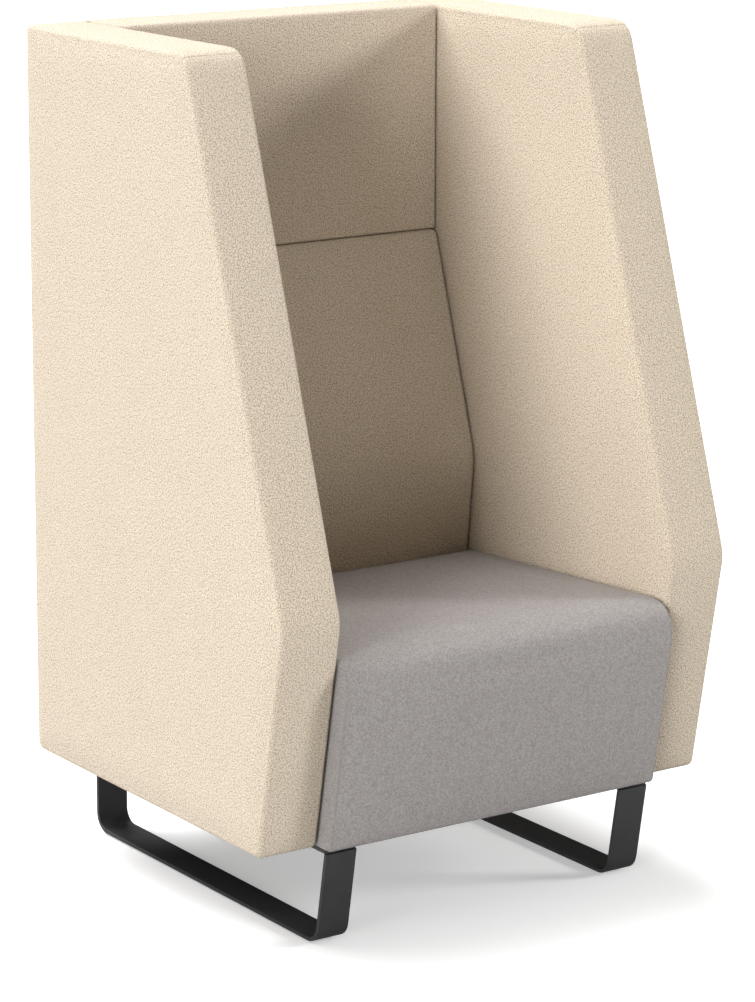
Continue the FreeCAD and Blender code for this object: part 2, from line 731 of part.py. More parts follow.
def zigzag_spring(across):
    # Wire bars across the seat joined by half circles at alternate ends
    span = value(f"{spring_front} - {spring_rear}")
    bars = round(span / value("Sizes.spring_pitch"))
    pitch = span / bars
    bend = pitch / 2
    reach = value("Sizes.spring_width / 2") - bend
    height = value(spring_plane)
    start = value(f"Sizes.depth / 2 - {spring_rear}")
    middle = value(across)
    edges = []
    for bar in range(bars + 1):
        turn = 1 if bar % 2 == 0 else -1
        along = start - bar * pitch
        begin = FreeCAD.Vector(middle - turn * reach, along, height)
        end = FreeCAD.Vector(middle + turn * reach, along, height)
        edges.append(Part.LineSegment(begin, end).toShape())
        if bar < bars:
            crest = FreeCAD.Vector(middle + turn * (reach + bend), along - bend, height)
            landing = FreeCAD.Vector(middle + turn * reach, along - pitch, height)
            edges.append(Part.Arc(end, crest, landing).toShape())
    radius = value("Sizes.spring_wire / 2")
    section = Part.makeCircle(radius, edges[0].Vertexes[0].Point, FreeCAD.Vector(1, 0, 0))
    return Part.Wire(edges).makePipeShell([Part.Wire([section])], True, False)


def seat_springs():
    springs = doc.addObject("Part::Feature", "springs")
    springs.Shape = Part.makeCompound([zigzag_spring(across) for across in spring_places])
    springs.Placement = FreeCAD.Placement()
    node(springs, "seat_springs")

    channel = "(Sizes.spring_wire / 2 + Sizes.wire_clearance)"
    shell = f"({channel} + Sizes.clip_sheet)"
    mouth = "-Sizes.clip_reach"
    outline = [(mouth, f"-{shell}"), (shell, f"-{shell}"), (shell, shell), (mouth, shell),
               (mouth, channel), (channel, channel), (channel, f"-{channel}"), (mouth, f"-{channel}")]
    body = doc.addObject("PartDesign::Body", "clip")
    sketch = new_sketch(body, "YZ_Plane", outline)
    pad = body.newObject("PartDesign::Pad", "clip_pad")
    pad.Profile = sketch
    pad.setExpression("Length", "Sizes.clip_width")
    pad.Midplane = True
    doc.recompute()
    places = []
    for across in spring_places:
        for depth, turn in ((spring_rear, 180), (spring_front, 0)):
            place = placed(across, depth, spring_plane, upward)
            place.Rotation = FreeCAD.Rotation(upward, turn)
            places.append(place)
    copies("spring_clips", body, places)

    felt_front = seat_front(felt_bottom, front_foam_inset)
    node(box("felt_sheet", f"-{rail_inside}", rail_inside, back_front, felt_front, felt_bottom, foam_bottom),
         "spring_felt")


def seat_cushion():
    def outline(inset, low, behind):
        return [(behind, low), (seat_front(low, inset), low),
                seat_corner(inset), (behind, seat_top(behind, inset))]

    outside_outline = outline("0", "Sizes.base_height", seat_rear)
    outside = prism("seat_outside", outside_outline, f"-{opening_half}", opening_half)
    round_edges(outside, "Sizes.nose_round", width_edge(outside_outline[2]))

    def top_and_front(body):
        # The end edges of a seat layer apart from its bottom and rear ones
        edges = end_edge(body)
        limits = body.Tip.Shape.BoundBox

        def chosen(edge):
            span = edge.BoundBox
            return edges(edge) and span.ZMax > limits.ZMin + touch and span.YMin < limits.YMax - touch
        return chosen
    round_edges(outside, "Sizes.seat_round", top_and_front(outside))

    rear_wall = f"({seat_rear} + {cloth})"
    below = f"(Sizes.base_height - {cloth})"
    behind = f"({seat_rear} - {cloth})"
    hollow_outline = [(behind, below), (seat_front(below, cloth), below), seat_corner(cloth),
                      (rear_wall, seat_top(rear_wall, cloth)), (rear_wall, foam_bottom),
                      (behind, foam_bottom)]
    hollow = prism("seat_hollow", hollow_outline, f"-{rail_half}", rail_half)
    round_edges(hollow, f"Sizes.nose_round - {cloth}", width_edge(hollow_outline[2]))
    hollow_ends = end_edge(hollow)
    lip = value(foam_bottom)
    rear_line = -value(rear_wall)

    def hollow_upper(edge):
        span = edge.BoundBox
        flat = span.ZMax - span.ZMin < touch
        rear_edge = span.YMin > rear_line - touch
        return hollow_ends(edge) and not rear_edge and not (flat and span.ZMin < lip + touch)
    round_edges(hollow, f"Sizes.seat_round - {cloth}", hollow_upper)
    cut("seat_cover", outside, hollow, bolt_drills["left"], bolt_drills["right"])

    foam_half = f"({rail_half} - Sizes.soft_gap)"
    foam_outline = outline(skin, foam_bottom, f"({seat_rear} + {skin})")
    foam = prism("seat_pad", foam_outline, f"-{foam_half}", foam_half)
    round_edges(foam, f"Sizes.nose_round - {skin}", width_edge(foam_outline[2]))
    round_edges(foam, f"Sizes.seat_round - {skin}", top_and_front(foam))
    node(foam, "seat_foam")

    fascia = [(seat_front(frame_bottom, front_foam_inset), frame_bottom),
              (seat_front(frame_bottom, skin), frame_bottom),
              (seat_front(foam_bottom, skin), foam_bottom),
              (seat_front(foam_bottom, front_foam_inset), foam_bottom)]
    fascia_half = f"({rail_half} - Sizes.seat_round)"
    node(prism("front_pad", fascia, f"-{fascia_half}", fascia_half), "seat_front_foam")

    low = "Sizes.base_height"
    sheet_outline = [(back_rear, low), (seat_front(low, skin), low),
                     (seat_front(frame_bottom, skin), frame_bottom), (back_rear, frame_bottom)]
    dust_half = f"({rail_half} - Sizes.seat_round)"
    dust = prism("dust_sheet", sheet_outline, f"-{dust_half}", dust_half)
    cut("seat_dust_cover", dust, leg_bolt_drills["left"], leg_bolt_drills["right"])


seat_frame()
seat_springs()
seat_cushion()


# Sled frames
def sled_frame(side):
    ends = [f"{hand[side]} * ({bar_outside} - Sizes.bar_width)", f"{hand[side]} * {bar_outside}"]
    if side == "left":
        ends.reverse()
    rear = "Sizes.leg_rear_depth"
    inner_rear = f"({rear} + Sizes.bar_thickness)"
    inset = "Sizes.bar_thickness"
    outline = [
        (rear, top_bar_bottom), (rear, bar_bottom), (leg_front(bar_bottom), bar_bottom),
        (leg_front(top_bar_bottom), top_bar_bottom), (leg_front(top_bar_bottom, inset), top_bar_bottom),
        (leg_front(bar_top, inset), bar_top), (inner_rear, bar_top), (inner_rear, top_bar_bottom)]
    bar = prism(side + "_bent_bar", outline, *ends)
    round_edges(bar, "Sizes.sled_bend", width_edge(outline[1], outline[2]))
    round_edges(bar, "Sizes.sled_bend - Sizes.bar_thickness", width_edge(outline[5], outline[6]))
    stems = []
    for index, depth in enumerate(glide_depths):
        base = (f"{hand[side]} * {bar_middle}", f"Sizes.depth / 2 - {depth}", "0")
        stems.append(drill("%s_stem_%d" % (side, index), "Sizes.glide_stem", f"2 * {bar_top}", base, upward))
    cut(side + "_sled_frame", bar, compound(side + "_stem_drills", stems))
    top = [(rear, top_bar_bottom), (leg_front(top_bar_bottom), top_bar_bottom),
           (leg_front("Sizes.base_height"), "Sizes.base_height"), (rear, "Sizes.base_height")]
    cut(side + "_sled_top_bar", prism(side + "_flat_bar", top, *ends), leg_bolt_drills[side])


def floor_glides():
    pad = "Sizes.glide_diameter / 2"
    stem = "Sizes.glide_stem / 2"
    profile = [("0", "0"), (pad, "0"), (pad, "Sizes.glide_height"),
               (stem, "Sizes.glide_height"), (stem, bar_top), ("0", bar_top)]
    places = []
    for side in sides:
        for depth in glide_depths:
            places.append(placed(f"{hand[side]} * {bar_middle}", depth, "0", upward))
    copies("floor_glides", turned("glide", profile), places)


for side in sides:
    sled_frame(side)
floor_glides()


# Fasteners
def bolt(name, length):
    # A round-headed bolt whose head sits under its seat and whose shank points up
    head = "Sizes.bolt_head_diameter / 2"
    shank = "Sizes.bolt_diameter / 2"
    drop = "-Sizes.bolt_head_height"
    profile = [("0", drop), (head, drop), (head, "0"), (shank, "0"), (shank, length), ("0", length)]
    return turned(name, profile)


def fasteners():
    side_length = f"({tee_seat} - {rail_inside} + Sizes.tee_flange + Sizes.bolt_tail)"
    side_bolt = bolt("side_bolt", side_length)
    bore = "(Sizes.bolt_diameter + Sizes.thread_clearance) / 2"
    barrel = "Sizes.tee_barrel_diameter / 2"
    flange = "Sizes.tee_flange_diameter / 2"
    depth = "-(Sizes.inner_board - Sizes.tee_barrel_spare)"
    tee_nut = turned("tee_nut", [(bore, depth), (barrel, depth), (barrel, "0"), (flange, "0"),
                                 (flange, "Sizes.tee_flange"), (bore, "Sizes.tee_flange")])
    bolt_places = []
    nut_places = []
    for side in sides:
        axis = outward[side]
        nut_seat = f"{hand[side]} * {tee_seat}"
        for bolt_depth in seat_bolt_depths:
            bolt_places.append(placed(f"{hand[side]} * {rail_inside}", bolt_depth, seat_bolt_height, axis))
            nut_places.append(placed(nut_seat, bolt_depth, seat_bolt_height, axis))
        for height in back_bolt_heights:
            bolt_places.append(placed(f"{hand[side]} * {stile_inside}", back_bolt_depth, height, axis))
            nut_places.append(placed(nut_seat, back_bolt_depth, height, axis))
    copies("side_bolts", side_bolt, bolt_places)
    copies("side_tee_nuts", tee_nut, nut_places)

    insert = "Sizes.insert_diameter / 2"
    insert_nut = turned("insert_nut", [(bore, "0"), (insert, "0"), (insert, "Sizes.insert_length"),
                                       (bore, "Sizes.insert_length")])
    leg_length = "(Sizes.bar_thickness + Sizes.dust_cloth + Sizes.insert_length - Sizes.bolt_tail)"
    leg_bolt = bolt("leg_bolt", leg_length)
    leg_places = []
    insert_places = []
    for side in sides:
        across = f"{hand[side]} * {bar_middle}"
        for bolt_depth in leg_bolt_depths:
            leg_places.append(placed(across, bolt_depth, top_bar_bottom, upward))
            insert_places.append(placed(across, bolt_depth, frame_bottom, upward))
    frame_bolt = bolt("frame_bolt", "(Sizes.seat_board + Sizes.insert_length - Sizes.bolt_tail)")
    rear_front = f"({back_front} + Sizes.seat_board)"
    frame_places = []
    for across in frame_bolt_places:
        frame_places.append(placed(across, rear_front, frame_bolt_height, rearward))
        insert_places.append(placed(across, back_front, frame_bolt_height, rearward))
    copies("leg_bolts", leg_bolt, leg_places)
    copies("insert_nuts", insert_nut, insert_places)
    copies("frame_bolts", frame_bolt, frame_places)


fasteners()

# Nothing is written unless every piece came out whole
doc.recompute()
for item in doc.Objects:
    if "Invalid" in item.State or "Error" in item.State:
        raise RuntimeError("%s failed: %s" % (item.Label, item.State))
for piece in nodes:
    if piece.Shape.isNull() or not piece.Shape.isValid():
        raise RuntimeError(piece.Label + " has no valid shape")
os.makedirs("parts", exist_ok=True)
for piece in nodes:
    piece.Shape.exportStep("parts/%s.step" % piece.Label)
print(len(nodes), "nodes written")
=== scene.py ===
import math

import bpy
import numpy as np
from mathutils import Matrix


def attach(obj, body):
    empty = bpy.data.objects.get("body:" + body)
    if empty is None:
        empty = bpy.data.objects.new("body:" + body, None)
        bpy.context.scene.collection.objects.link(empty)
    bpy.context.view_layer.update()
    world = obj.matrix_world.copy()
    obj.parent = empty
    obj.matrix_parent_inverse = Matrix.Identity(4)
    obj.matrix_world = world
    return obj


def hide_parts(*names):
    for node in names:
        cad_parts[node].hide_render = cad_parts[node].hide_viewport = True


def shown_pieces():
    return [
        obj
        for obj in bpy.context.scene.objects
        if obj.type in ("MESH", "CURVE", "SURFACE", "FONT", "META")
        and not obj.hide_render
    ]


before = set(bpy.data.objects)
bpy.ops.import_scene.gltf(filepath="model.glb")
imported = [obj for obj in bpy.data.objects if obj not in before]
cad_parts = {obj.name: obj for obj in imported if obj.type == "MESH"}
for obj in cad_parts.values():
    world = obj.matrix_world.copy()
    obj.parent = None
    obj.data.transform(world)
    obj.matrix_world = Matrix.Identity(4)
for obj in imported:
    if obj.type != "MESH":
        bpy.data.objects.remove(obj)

scene = bpy.context.scene
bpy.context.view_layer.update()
halfDepth = 0.366  # rear plane of the sofa; outlines run in depth from it and height above the floor
tiny = 1e-12  # keeps divisions clear of zero
print("frame loaded:", len(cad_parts), "nodes")


def lerp(start, end, share):
    # Straight mix: start at share 0, end at share 1
    return start + (end - start) * share


def smoothStep(value, start, end):
    # 0 before start, 1 after end, 3t^2 - 2t^3 between
    share = np.clip((value - start) / (end - start), 0.0, 1.0)
    return share * share * (3 - 2 * share)


def putMesh(name, points, faces, uv=None, seamAndShade=None, flatAngle=None):
    # New object from arrays of points and faces; uv is one pair per face corner, seam one value per point
    # for stitched seams and painted crevice shade
    mesh = bpy.data.meshes.new(name)
    mesh.from_pydata(points.tolist(), [], [list(face) for face in faces])
    mesh.polygons.foreach_set("use_smooth", np.ones(len(mesh.polygons), dtype=bool))
    if uv is not None:
        layer = mesh.uv_layers.new(name="cloth")
        layer.data.foreach_set("uv", np.asarray(uv, dtype=np.float32).ravel())
    if seamAndShade is not None:
        layer = mesh.attributes.new("seamAndShade", "FLOAT", "POINT")
        layer.data.foreach_set("value", np.asarray(seamAndShade, dtype=np.float32))
    mesh.update()
    if flatAngle is not None:
        mesh.set_sharp_from_angle(angle=flatAngle)
    piece = bpy.data.objects.new(name, mesh)
    scene.collection.objects.link(piece)
    return piece


def roundedLoop(corners):
    # Closed outline of straight runs joined by tangent arcs: corner k gives an arc of its radius and the
    # run after it; the distance along the outline picks the arc or the run, and the point on it
    spots = np.array([corner[:2] for corner in corners])
    radius = np.array([corner[2] for corner in corners])
    ahead = np.roll(spots, -1, axis=0) - spots
    span = np.linalg.norm(ahead, axis=1)
    ahead = ahead / span[:, None]
    before = np.roll(ahead, 1, axis=0)
    bend = np.arctan2(before[:, 0] * ahead[:, 1] - before[:, 1] * ahead[:, 0], (before * ahead).sum(axis=1))
    cut = radius * np.tan(np.abs(bend) / 2)
    arc = radius * np.abs(bend)
    run = span - cut - np.roll(cut, -1)
    starts = np.concatenate([[0.0], np.cumsum(arc + run)])
    side = np.sign(bend)
    inward = np.stack([-before[:, 1], before[:, 0]], axis=1) * side[:, None]

    def place(distance):
        along = np.mod(distance, starts[-1])
        k = np.clip(np.searchsorted(starts, along, side="right") - 1, 0, len(radius) - 1)
        local = along - starts[k]
        turned = np.minimum(local, arc[k]) / np.maximum(radius[k], tiny)
        beyond = np.maximum(local - arc[k], 0.0)
        sine = np.sin(turned)[:, None]
        cosine = np.cos(turned)[:, None]
        tangent = np.where((beyond > 0)[:, None], ahead[k], cosine * before[k] + sine * inward[k])
        bent = radius[k, None] * (sine * before[k] + (1 - cosine) * inward[k])
        point = spots[k] - cut[k, None] * before[k] + bent + beyond[:, None] * ahead[k]
        return point, np.stack([tangent[:, 1], -tangent[:, 0]], axis=1)

    return place, starts[-1], starts[:-1] + arc / 2


grading = {"growth": 1.6, "rampShare": 0.8}  # ratio of steps, and the most that both ramps take up


def gradedLine(length, fine, coarse):
    # Places from 0 to length: steps grow by a fixed ratio from both ends until they are coarse
    growth = grading["growth"]
    rise = fine * growth ** np.arange(math.ceil(math.log(coarse / fine, growth)))
    while len(rise) > 1 and 2 * rise.sum() > grading["rampShare"] * length:
        rise = rise[:-1]
    body = length - 2 * rise.sum()
    count = max(1, math.ceil(body / coarse))
    steps = np.concatenate([rise, np.full(count, body / count), rise[::-1]])
    return np.concatenate([[0.0], np.cumsum(steps)])


def squeezed(places, length, margin):
    # The same number of places on another length: both ends keep their steps, the middle is stretched
    middle = np.clip((places - margin) / (places[-1] - 2 * margin), 0.0, 1.0)
    return places + (length - places[-1]) * middle


def cellCorners(grid):
    # The four corners of each cell of a grid, in order round the cell
    return np.stack([grid[:-1, :-1], grid[:-1, 1:], grid[1:, 1:], grid[1:, :-1]], axis=2)


def tubeFaces(rows, columns):
    # Faces of a tube of rings: quads between neighbouring rings and a flat cap on each end
    number = np.arange(rows * columns).reshape(rows, columns)
    quads = cellCorners(np.hstack([number, number[:, :1]])).reshape(-1, 4)
    return [tuple(quad) for quad in quads] + [tuple(number[0][::-1]), tuple(number[-1])]


def repeated(points, faces, shifts):
    # The same points and faces at several places
    allPoints = np.concatenate([points + np.array(shift) for shift in shifts])
    allFaces = [tuple(np.array(face) + k * len(points)) for k in range(len(shifts)) for face in faces]
    return allPoints, allFaces


def vertexNormals(points, quads):
    # Sum of the face normals, the cross products of the diagonals, at each point
    across = np.cross(points[quads[:, 2]] - points[quads[:, 0]], points[quads[:, 3]] - points[quads[:, 1]])
    total = np.zeros_like(points)
    for corner in range(4):
        np.add.at(total, quads[:, corner], across)
    return total / np.maximum(np.linalg.norm(total, axis=1, keepdims=True), tiny)


patchMargin = {"most": 0.06, "share": 0.3}  # ends of each side that keep their steps on a patch
noSeam = 1.0  # gap of points that have no cross seam near


def padShell(pad, shrink):
    # Closed cushion shell: an edge profile (quarter round, flat, quarter round) is carried along the
    # outline, and the two ends are Coons patches between the outline's four sides
    place, whole, middles = roundedLoop(pad["outline"])
    corner = [middles[k] for k in pad["patchCorners"]] + [middles[pad["patchCorners"][0]] + whole]
    lengths = np.diff(corner)
    fine, coarse = pad["fine"], pad["coarse"]
    bottom = gradedLine(max(lengths[0], lengths[2]), fine, coarse)
    front = gradedLine(max(lengths[1], lengths[3]), fine, coarse)
    margins = [min(patchMargin["most"], patchMargin["share"] * lengths[side]) for side in range(4)]
    sides = [squeezed((bottom, front)[side % 2], lengths[side], margins[side]) for side in range(4)]
    along = np.concatenate([corner[side] + sides[side][:-1] for side in range(4)])
    spot, outward = place(along)

    low, high = pad["across"]
    fillet = pad["fillet"]
    angle = np.linspace(0.0, math.pi / 2, pad["filletSteps"])
    flat = gradedLine(high - low - 2 * fillet, fine * 2, coarse)
    arcInset = fillet * (1 - np.sin(angle))
    arcAcross = fillet * (1 - np.cos(angle))
    inset = np.concatenate([arcInset, np.zeros(len(flat) - 2), arcInset[::-1]]) + pad["inset"]
    across = np.concatenate([low + arcAcross, low + fillet + flat[1:-1], high - arcAcross[::-1]])
    slide = np.concatenate([arcAcross, lerp(fillet, -fillet, flat[1:-1] / flat[-1]), -arcAcross[::-1]])
    lessened = shrink(spot[:, 0], spot[:, 1])[:, None]
    flatGap = np.minimum(flat, flat[-1] - flat)[1:-1] + fillet * math.pi / 4
    arcGap = fillet * np.abs(angle - math.pi / 4)
    edgeGap = np.concatenate([arcGap, flatGap, arcGap[::-1]])

    rows, columns = len(along), len(inset)
    insets = inset - lessened * (inset - pad["inset"])
    plane = spot[:, None, :] - outward[:, None, :] * insets[..., None]
    strip = np.stack([across - lessened * slide, halfDepth - plane[..., 0], plane[..., 1]], axis=-1)
    number = np.arange(rows * columns).reshape(rows, columns)
    cornerGap = np.full(rows, noSeam)
    for mark in [corner[k] for k in pad["crossSeams"]]:
        apart = np.abs(along - mark)
        cornerGap = np.minimum(cornerGap, np.minimum(apart, whole - apart))

    ring = np.vstack([number, number[:1]])
    quads = [cellCorners(ring).reshape(-1, 4)]
    ringAlong = np.concatenate([along, along[:1] + whole])
    profile = np.concatenate([[0.0], np.cumsum(np.hypot(np.diff(inset), np.diff(across)))])
    sheet = np.stack(np.broadcast_arrays(ringAlong[:, None], profile[None, :]), axis=-1)
    uv = [cellCorners(sheet).reshape(-1, 2)]
    points = [strip.reshape(-1, 3)]
    gaps = [np.broadcast_to(edgeGap, (rows, columns)).ravel()]
    crossGaps = [np.broadcast_to(cornerGap[:, None], (rows, columns)).ravel()]
    zone = [np.zeros(rows * columns, dtype=int)]

    wide, tall = len(bottom), len(front)
    order = np.arange(rows)
    borders = [order[:wide], order[wide - 1:wide + tall - 1], order[wide + tall - 2:2 * wide + tall - 2],
               np.append(order[2 * wide + tall - 3:], 0)]
    shareU = (0.5 * (sides[0] / lengths[0] + 1 - sides[2][::-1] / lengths[2]))[:, None, None]
    shareV = (0.5 * (sides[1] / lengths[1] + 1 - sides[3][::-1] / lengths[3]))[None, :, None]
    rim = np.minimum(np.minimum(sides[0], lengths[0] - sides[0])[:, None],
                     np.minimum(sides[1], lengths[1] - sides[1])[None, :])
    count = rows * columns
    inner = (wide - 2) * (tall - 2)
    otherWay = [0, 3, 2, 1]  # corners of a cell taken the other way round
    for end, column in ((1, 0), (2, columns - 1)):
        edge = strip[:, column, :]
        base, fore, crown, rear = (edge[border] for border in borders)
        crown, rear = crown[::-1], rear[::-1]
        patch = lerp(base[:, None], crown[:, None], shareV) + lerp(rear[None], fore[None], shareU)
        patch = patch - lerp(lerp(base[0], base[-1], shareU), lerp(crown[0], crown[-1], shareU), shareV)
        grid = np.zeros((wide, tall), dtype=int)
        grid[1:-1, 1:-1] = count + np.arange(inner).reshape(wide - 2, tall - 2)
        grid[:, 0], grid[-1, :] = number[borders[0], column], number[borders[1], column]
        grid[::-1, -1], grid[0, ::-1] = number[borders[2], column], number[borders[3], column]
        count += inner
        faces = cellCorners(grid).reshape(-1, 4)[:, otherWay]
        faceUv = cellCorners(patch[..., 1:]).reshape(-1, 4, 2)[:, otherWay]
        if end == 2:
            faces, faceUv = faces[:, ::-1], faceUv[:, ::-1]
        quads.append(faces)
        uv.append(faceUv.reshape(-1, 2))
        points.append(patch[1:-1, 1:-1].reshape(-1, 3))
        gaps.append(rim[1:-1, 1:-1].ravel() + fillet * math.pi / 4)
        crossGaps.append(np.full(inner, noSeam))
        zone.append(np.full(inner, end))
    return {"points": np.concatenate(points), "quads": np.concatenate(quads), "uv": np.concatenate(uv),
            "edgeGap": np.concatenate(gaps), "crossGap": np.concatenate(crossGaps),
            "zone": np.concatenate(zone)}


airPuff = {"quality": 5, "mass": 0.3, "drag": 1.0, "stiffness": 15.0, "shear": 5.0, "bending": 0.5,
           "pressure": 4.0, "frames": 20}


def puffed(name, shell, held):
    # Cloth blown up by air from inside with its seams and hidden faces held; gives the blown points
    piece = putMesh(name + "_cloth", shell["points"], shell["quads"])
    group = piece.vertex_groups.new(name="held")
    group.add(np.flatnonzero(held).tolist(), 1.0, "REPLACE")
    cloth = piece.modifiers.new("puff", "CLOTH")
    settings = cloth.settings
    settings.quality = airPuff["quality"]
    settings.mass = airPuff["mass"]
    settings.air_damping = airPuff["drag"]
    settings.tension_stiffness = airPuff["stiffness"]
    settings.compression_stiffness = airPuff["stiffness"]
    settings.shear_stiffness = airPuff["shear"]
    settings.bending_stiffness = airPuff["bending"]
    settings.vertex_group_mass = "held"
    settings.use_pressure = True
    settings.uniform_pressure_force = airPuff["pressure"]
    settings.effector_weights.gravity = 0.0
    cloth.collision_settings.use_collision = False
    cloth.point_cache.frame_start = 1
    cloth.point_cache.frame_end = airPuff["frames"]
    for step in range(1, airPuff["frames"] + 1):
        scene.frame_set(step)
    blown = piece.evaluated_get(bpy.context.evaluated_depsgraph_get())
    points = np.empty(len(shell["points"]) * 3)
    blown.data.vertices.foreach_get("co", points)
    mesh = piece.data
    bpy.data.objects.remove(piece)
    bpy.data.meshes.remove(mesh)
    scene.frame_set(1)
    return points.reshape(-1, 3)


def evenRound(depth, height):
    # The end rounding is cut down nowhere
    return np.zeros_like(depth)


paintedShadeTop = 1.304  # the painted crevice shade at the ends stops below the top faces


def buildPad(name, pad, held, cap, shrink=evenRound):
    # Shell blown up, each point moved out along its normal by cap * tanh(push / cap), then the seams
    # are pressed in by depth * exp(-(gap / width)^2)
    shell = padShell(pad, shrink)
    points, quads = shell["points"], shell["quads"]
    seamHeld = np.minimum(shell["edgeGap"], shell["crossGap"]) < pad["seamHold"]
    normals = vertexNormals(points, quads)
    push = ((puffed(name, shell, held(shell) | seamHeld) - points) * normals).sum(axis=1)
    limit = cap(shell)
    moved = points + normals * (limit * np.tanh(np.maximum(push, 0.0) / limit))[:, None]
    groove = np.exp(-(shell["edgeGap"] / pad["grooveWidth"]) ** 2) * pad["edgeGroove"]
    crossing = np.exp(-(shell["crossGap"] / pad["grooveWidth"]) ** 2) * pad["crossGroove"]
    moved = moved - vertexNormals(moved, quads) * np.maximum(groove, crossing)[:, None]
    # painted shade: the ends are darkened where they meet the side panels, standing in for the crevice's
    # shadow
    paintedCreviceShade = np.where(points[:, 2] < paintedShadeTop, pad["paintedCreviceShade"], 0.0)
    # the seam value is this painted crevice shade or a stitched cross seam, whichever is stronger
    seamAndShade = np.maximum(paintedCreviceShade * np.exp(-(shell["edgeGap"] / pad["shadeWidth"]) ** 2),
                      np.exp(-(shell["crossGap"] / pad["shadeWidth"]) ** 2))
    print("pad", name, "points", len(points), "largest push", round(float(push.max()), 4))
    return moved, quads, shell["uv"], seamAndShade


# side panels: outline in depth and height, padded across from the outer to the inner face
sidePanel = {
    "outline": [(0.0, 0.156, 0.018), (0.657, 0.156, 0.014), (0.724, 0.512, 0.06), (0.470, 1.312, 0.040),
                (0.0, 1.312, 0.012)],
    "patchCorners": [0, 1, 3, 4], "crossSeams": [0, 1, 2, 3],
    "across": (-0.4045, -0.3030), "inset": 0.0012, "fillet": 0.0090, "filletSteps": 9,
    "fine": 0.0008, "coarse": 0.015, "seamHold": 0.0035,
    "edgeGroove": 0.0003, "crossGroove": 0.0007, "grooveWidth": 0.0013,
    "paintedCreviceShade": 0.0, "shadeWidth": 0.0017,
    "faceCap": 0.0036, "edgeCap": 0.0016, "fill": 0.8,
}


def sideCap(shell):
    # Most that a point may swell: less on the edge strip than on the two faces
    return np.where(shell["zone"] == 0, sidePanel["edgeCap"], sidePanel["faceCap"])


def sideHeld(shell):
    # No face of a side panel is hidden, so only its seams are held
    return np.zeros(len(shell["zone"]), dtype=bool)


panelPoints, panelQuads, panelUv, panelSeam = buildPad("left_side_panel", sidePanel, sideHeld, sideCap)
leftPanel = putMesh("left_side_panel", panelPoints, panelQuads, panelUv, panelSeam)
mirrored = panelPoints * np.array([-1.0, 1.0, 1.0])
mirroredUv = panelUv.reshape(-1, 4, 2)[:, ::-1].reshape(-1, 2)
rightPanel = putMesh("right_side_panel", mirrored, panelQuads[:, ::-1], mirroredUv, panelSeam)
for panel, hand in ((leftPanel, "left"), (rightPanel, "right")):
    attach(panel, "root")
    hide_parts(hand + "_side_cover", hand + "_side_outer_foam", hand + "_side_inner_foam",
                hand + "_side_edge_foam")
print("side panels done")


# head panel, lumbar cushion and rear panel: outlines carried across the opening
# their edge shade values paint shade along the ends, in the crevices against the side panels
headPanel = {
    "outline": [(0.0063, 0.9432, 0.007), (0.104, 0.9432, 0.006), (0.104, 1.312, 0.010),
                (0.0063, 1.312, 0.007)],
    "patchCorners": [0, 1, 2, 3], "crossSeams": [],
    "across": (-0.2970, 0.2970), "inset": 0.0020, "fillet": 0.004, "filletSteps": 6,
    "fine": 0.0015, "coarse": 0.016, "seamHold": 0.0030,
    "edgeGroove": 0.0003, "crossGroove": 0.0, "grooveWidth": 0.0011,
    "paintedCreviceShade": 0.85, "shadeWidth": 0.0026, "freeDepth": (0.012, math.inf), "freeAbove": 0.950,
    "faceCap": 0.0050, "endCap": 0.0004, "fill": 0.75,
}
lumbarCushion = {
    "outline": [(0.0583, 0.3437, 0.015), (0.194, 0.3437, 0.015), (0.205, 0.424, 0.04), (0.223, 0.587, 0.09),
                (0.111, 0.9472, 0.0155), (0.0583, 0.9472, 0.015)],
    "patchCorners": [0, 1, 4, 5], "crossSeams": [],
    "across": (-0.2980, 0.2980), "inset": 0.0030, "fillet": 0.0115, "filletSteps": 9,
    "fine": 0.0015, "coarse": 0.016, "seamHold": 0.0035,
    "edgeGroove": 0.0003, "crossGroove": 0.0, "grooveWidth": 0.0011,
    "paintedCreviceShade": 0.5, "shadeWidth": 0.0022, "freeDepth": (0.066, math.inf), "freeAbove": 0.36,
    "faceCap": 0.0070, "endCap": 0.0004, "fill": 0.7,
}
rearPanel = {
    "outline": [(0.0, 0.156, 0.003), (0.012, 0.156, 0.003), (0.012, 1.3108, 0.003), (0.0, 1.3108, 0.003)],
    "patchCorners": [0, 1, 2, 3], "crossSeams": [],
    "across": (-0.3045, 0.3045), "inset": 0.0004, "fillet": 0.002, "filletSteps": 5,
    "fine": 0.0015, "coarse": 0.018, "seamHold": 0.0020,
    "edgeGroove": 0.0, "crossGroove": 0.0, "grooveWidth": 0.0011,
    "paintedCreviceShade": 0.3, "shadeWidth": 0.0016, "freeDepth": (-math.inf, 0.0045), "freeAbove": 0.0,
    "faceCap": 0.0030, "endCap": 0.0002, "fill": 0.4,
}


def backPiece(name, pad, nodes):
    # A padded piece between the side panels: its ends hardly swell, and points outside its free depths or
    # below its free height are held
    def held(shell):
        depth, height = halfDepth - shell["points"][:, 1], shell["points"][:, 2]
        nearest, furthest = pad["freeDepth"]
        return (depth < nearest) | (depth > furthest) | (height < pad["freeAbove"])

    def cap(shell):
        return np.where(shell["zone"] == 0, pad["faceCap"], pad["endCap"])

    piece = putMesh(name, *buildPad(name, pad, held, cap))
    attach(piece, "root")
    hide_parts(*nodes)
    return piece


head = backPiece("head_panel", headPanel, ["head_cover", "head_foam"])
lumbar = backPiece("lumbar_cushion", lumbarCushion, ["lumbar_cover", "lumbar_foam"])
rear = backPiece("rear_panel", rearPanel, ["rear_cover"])
print("back pieces done")


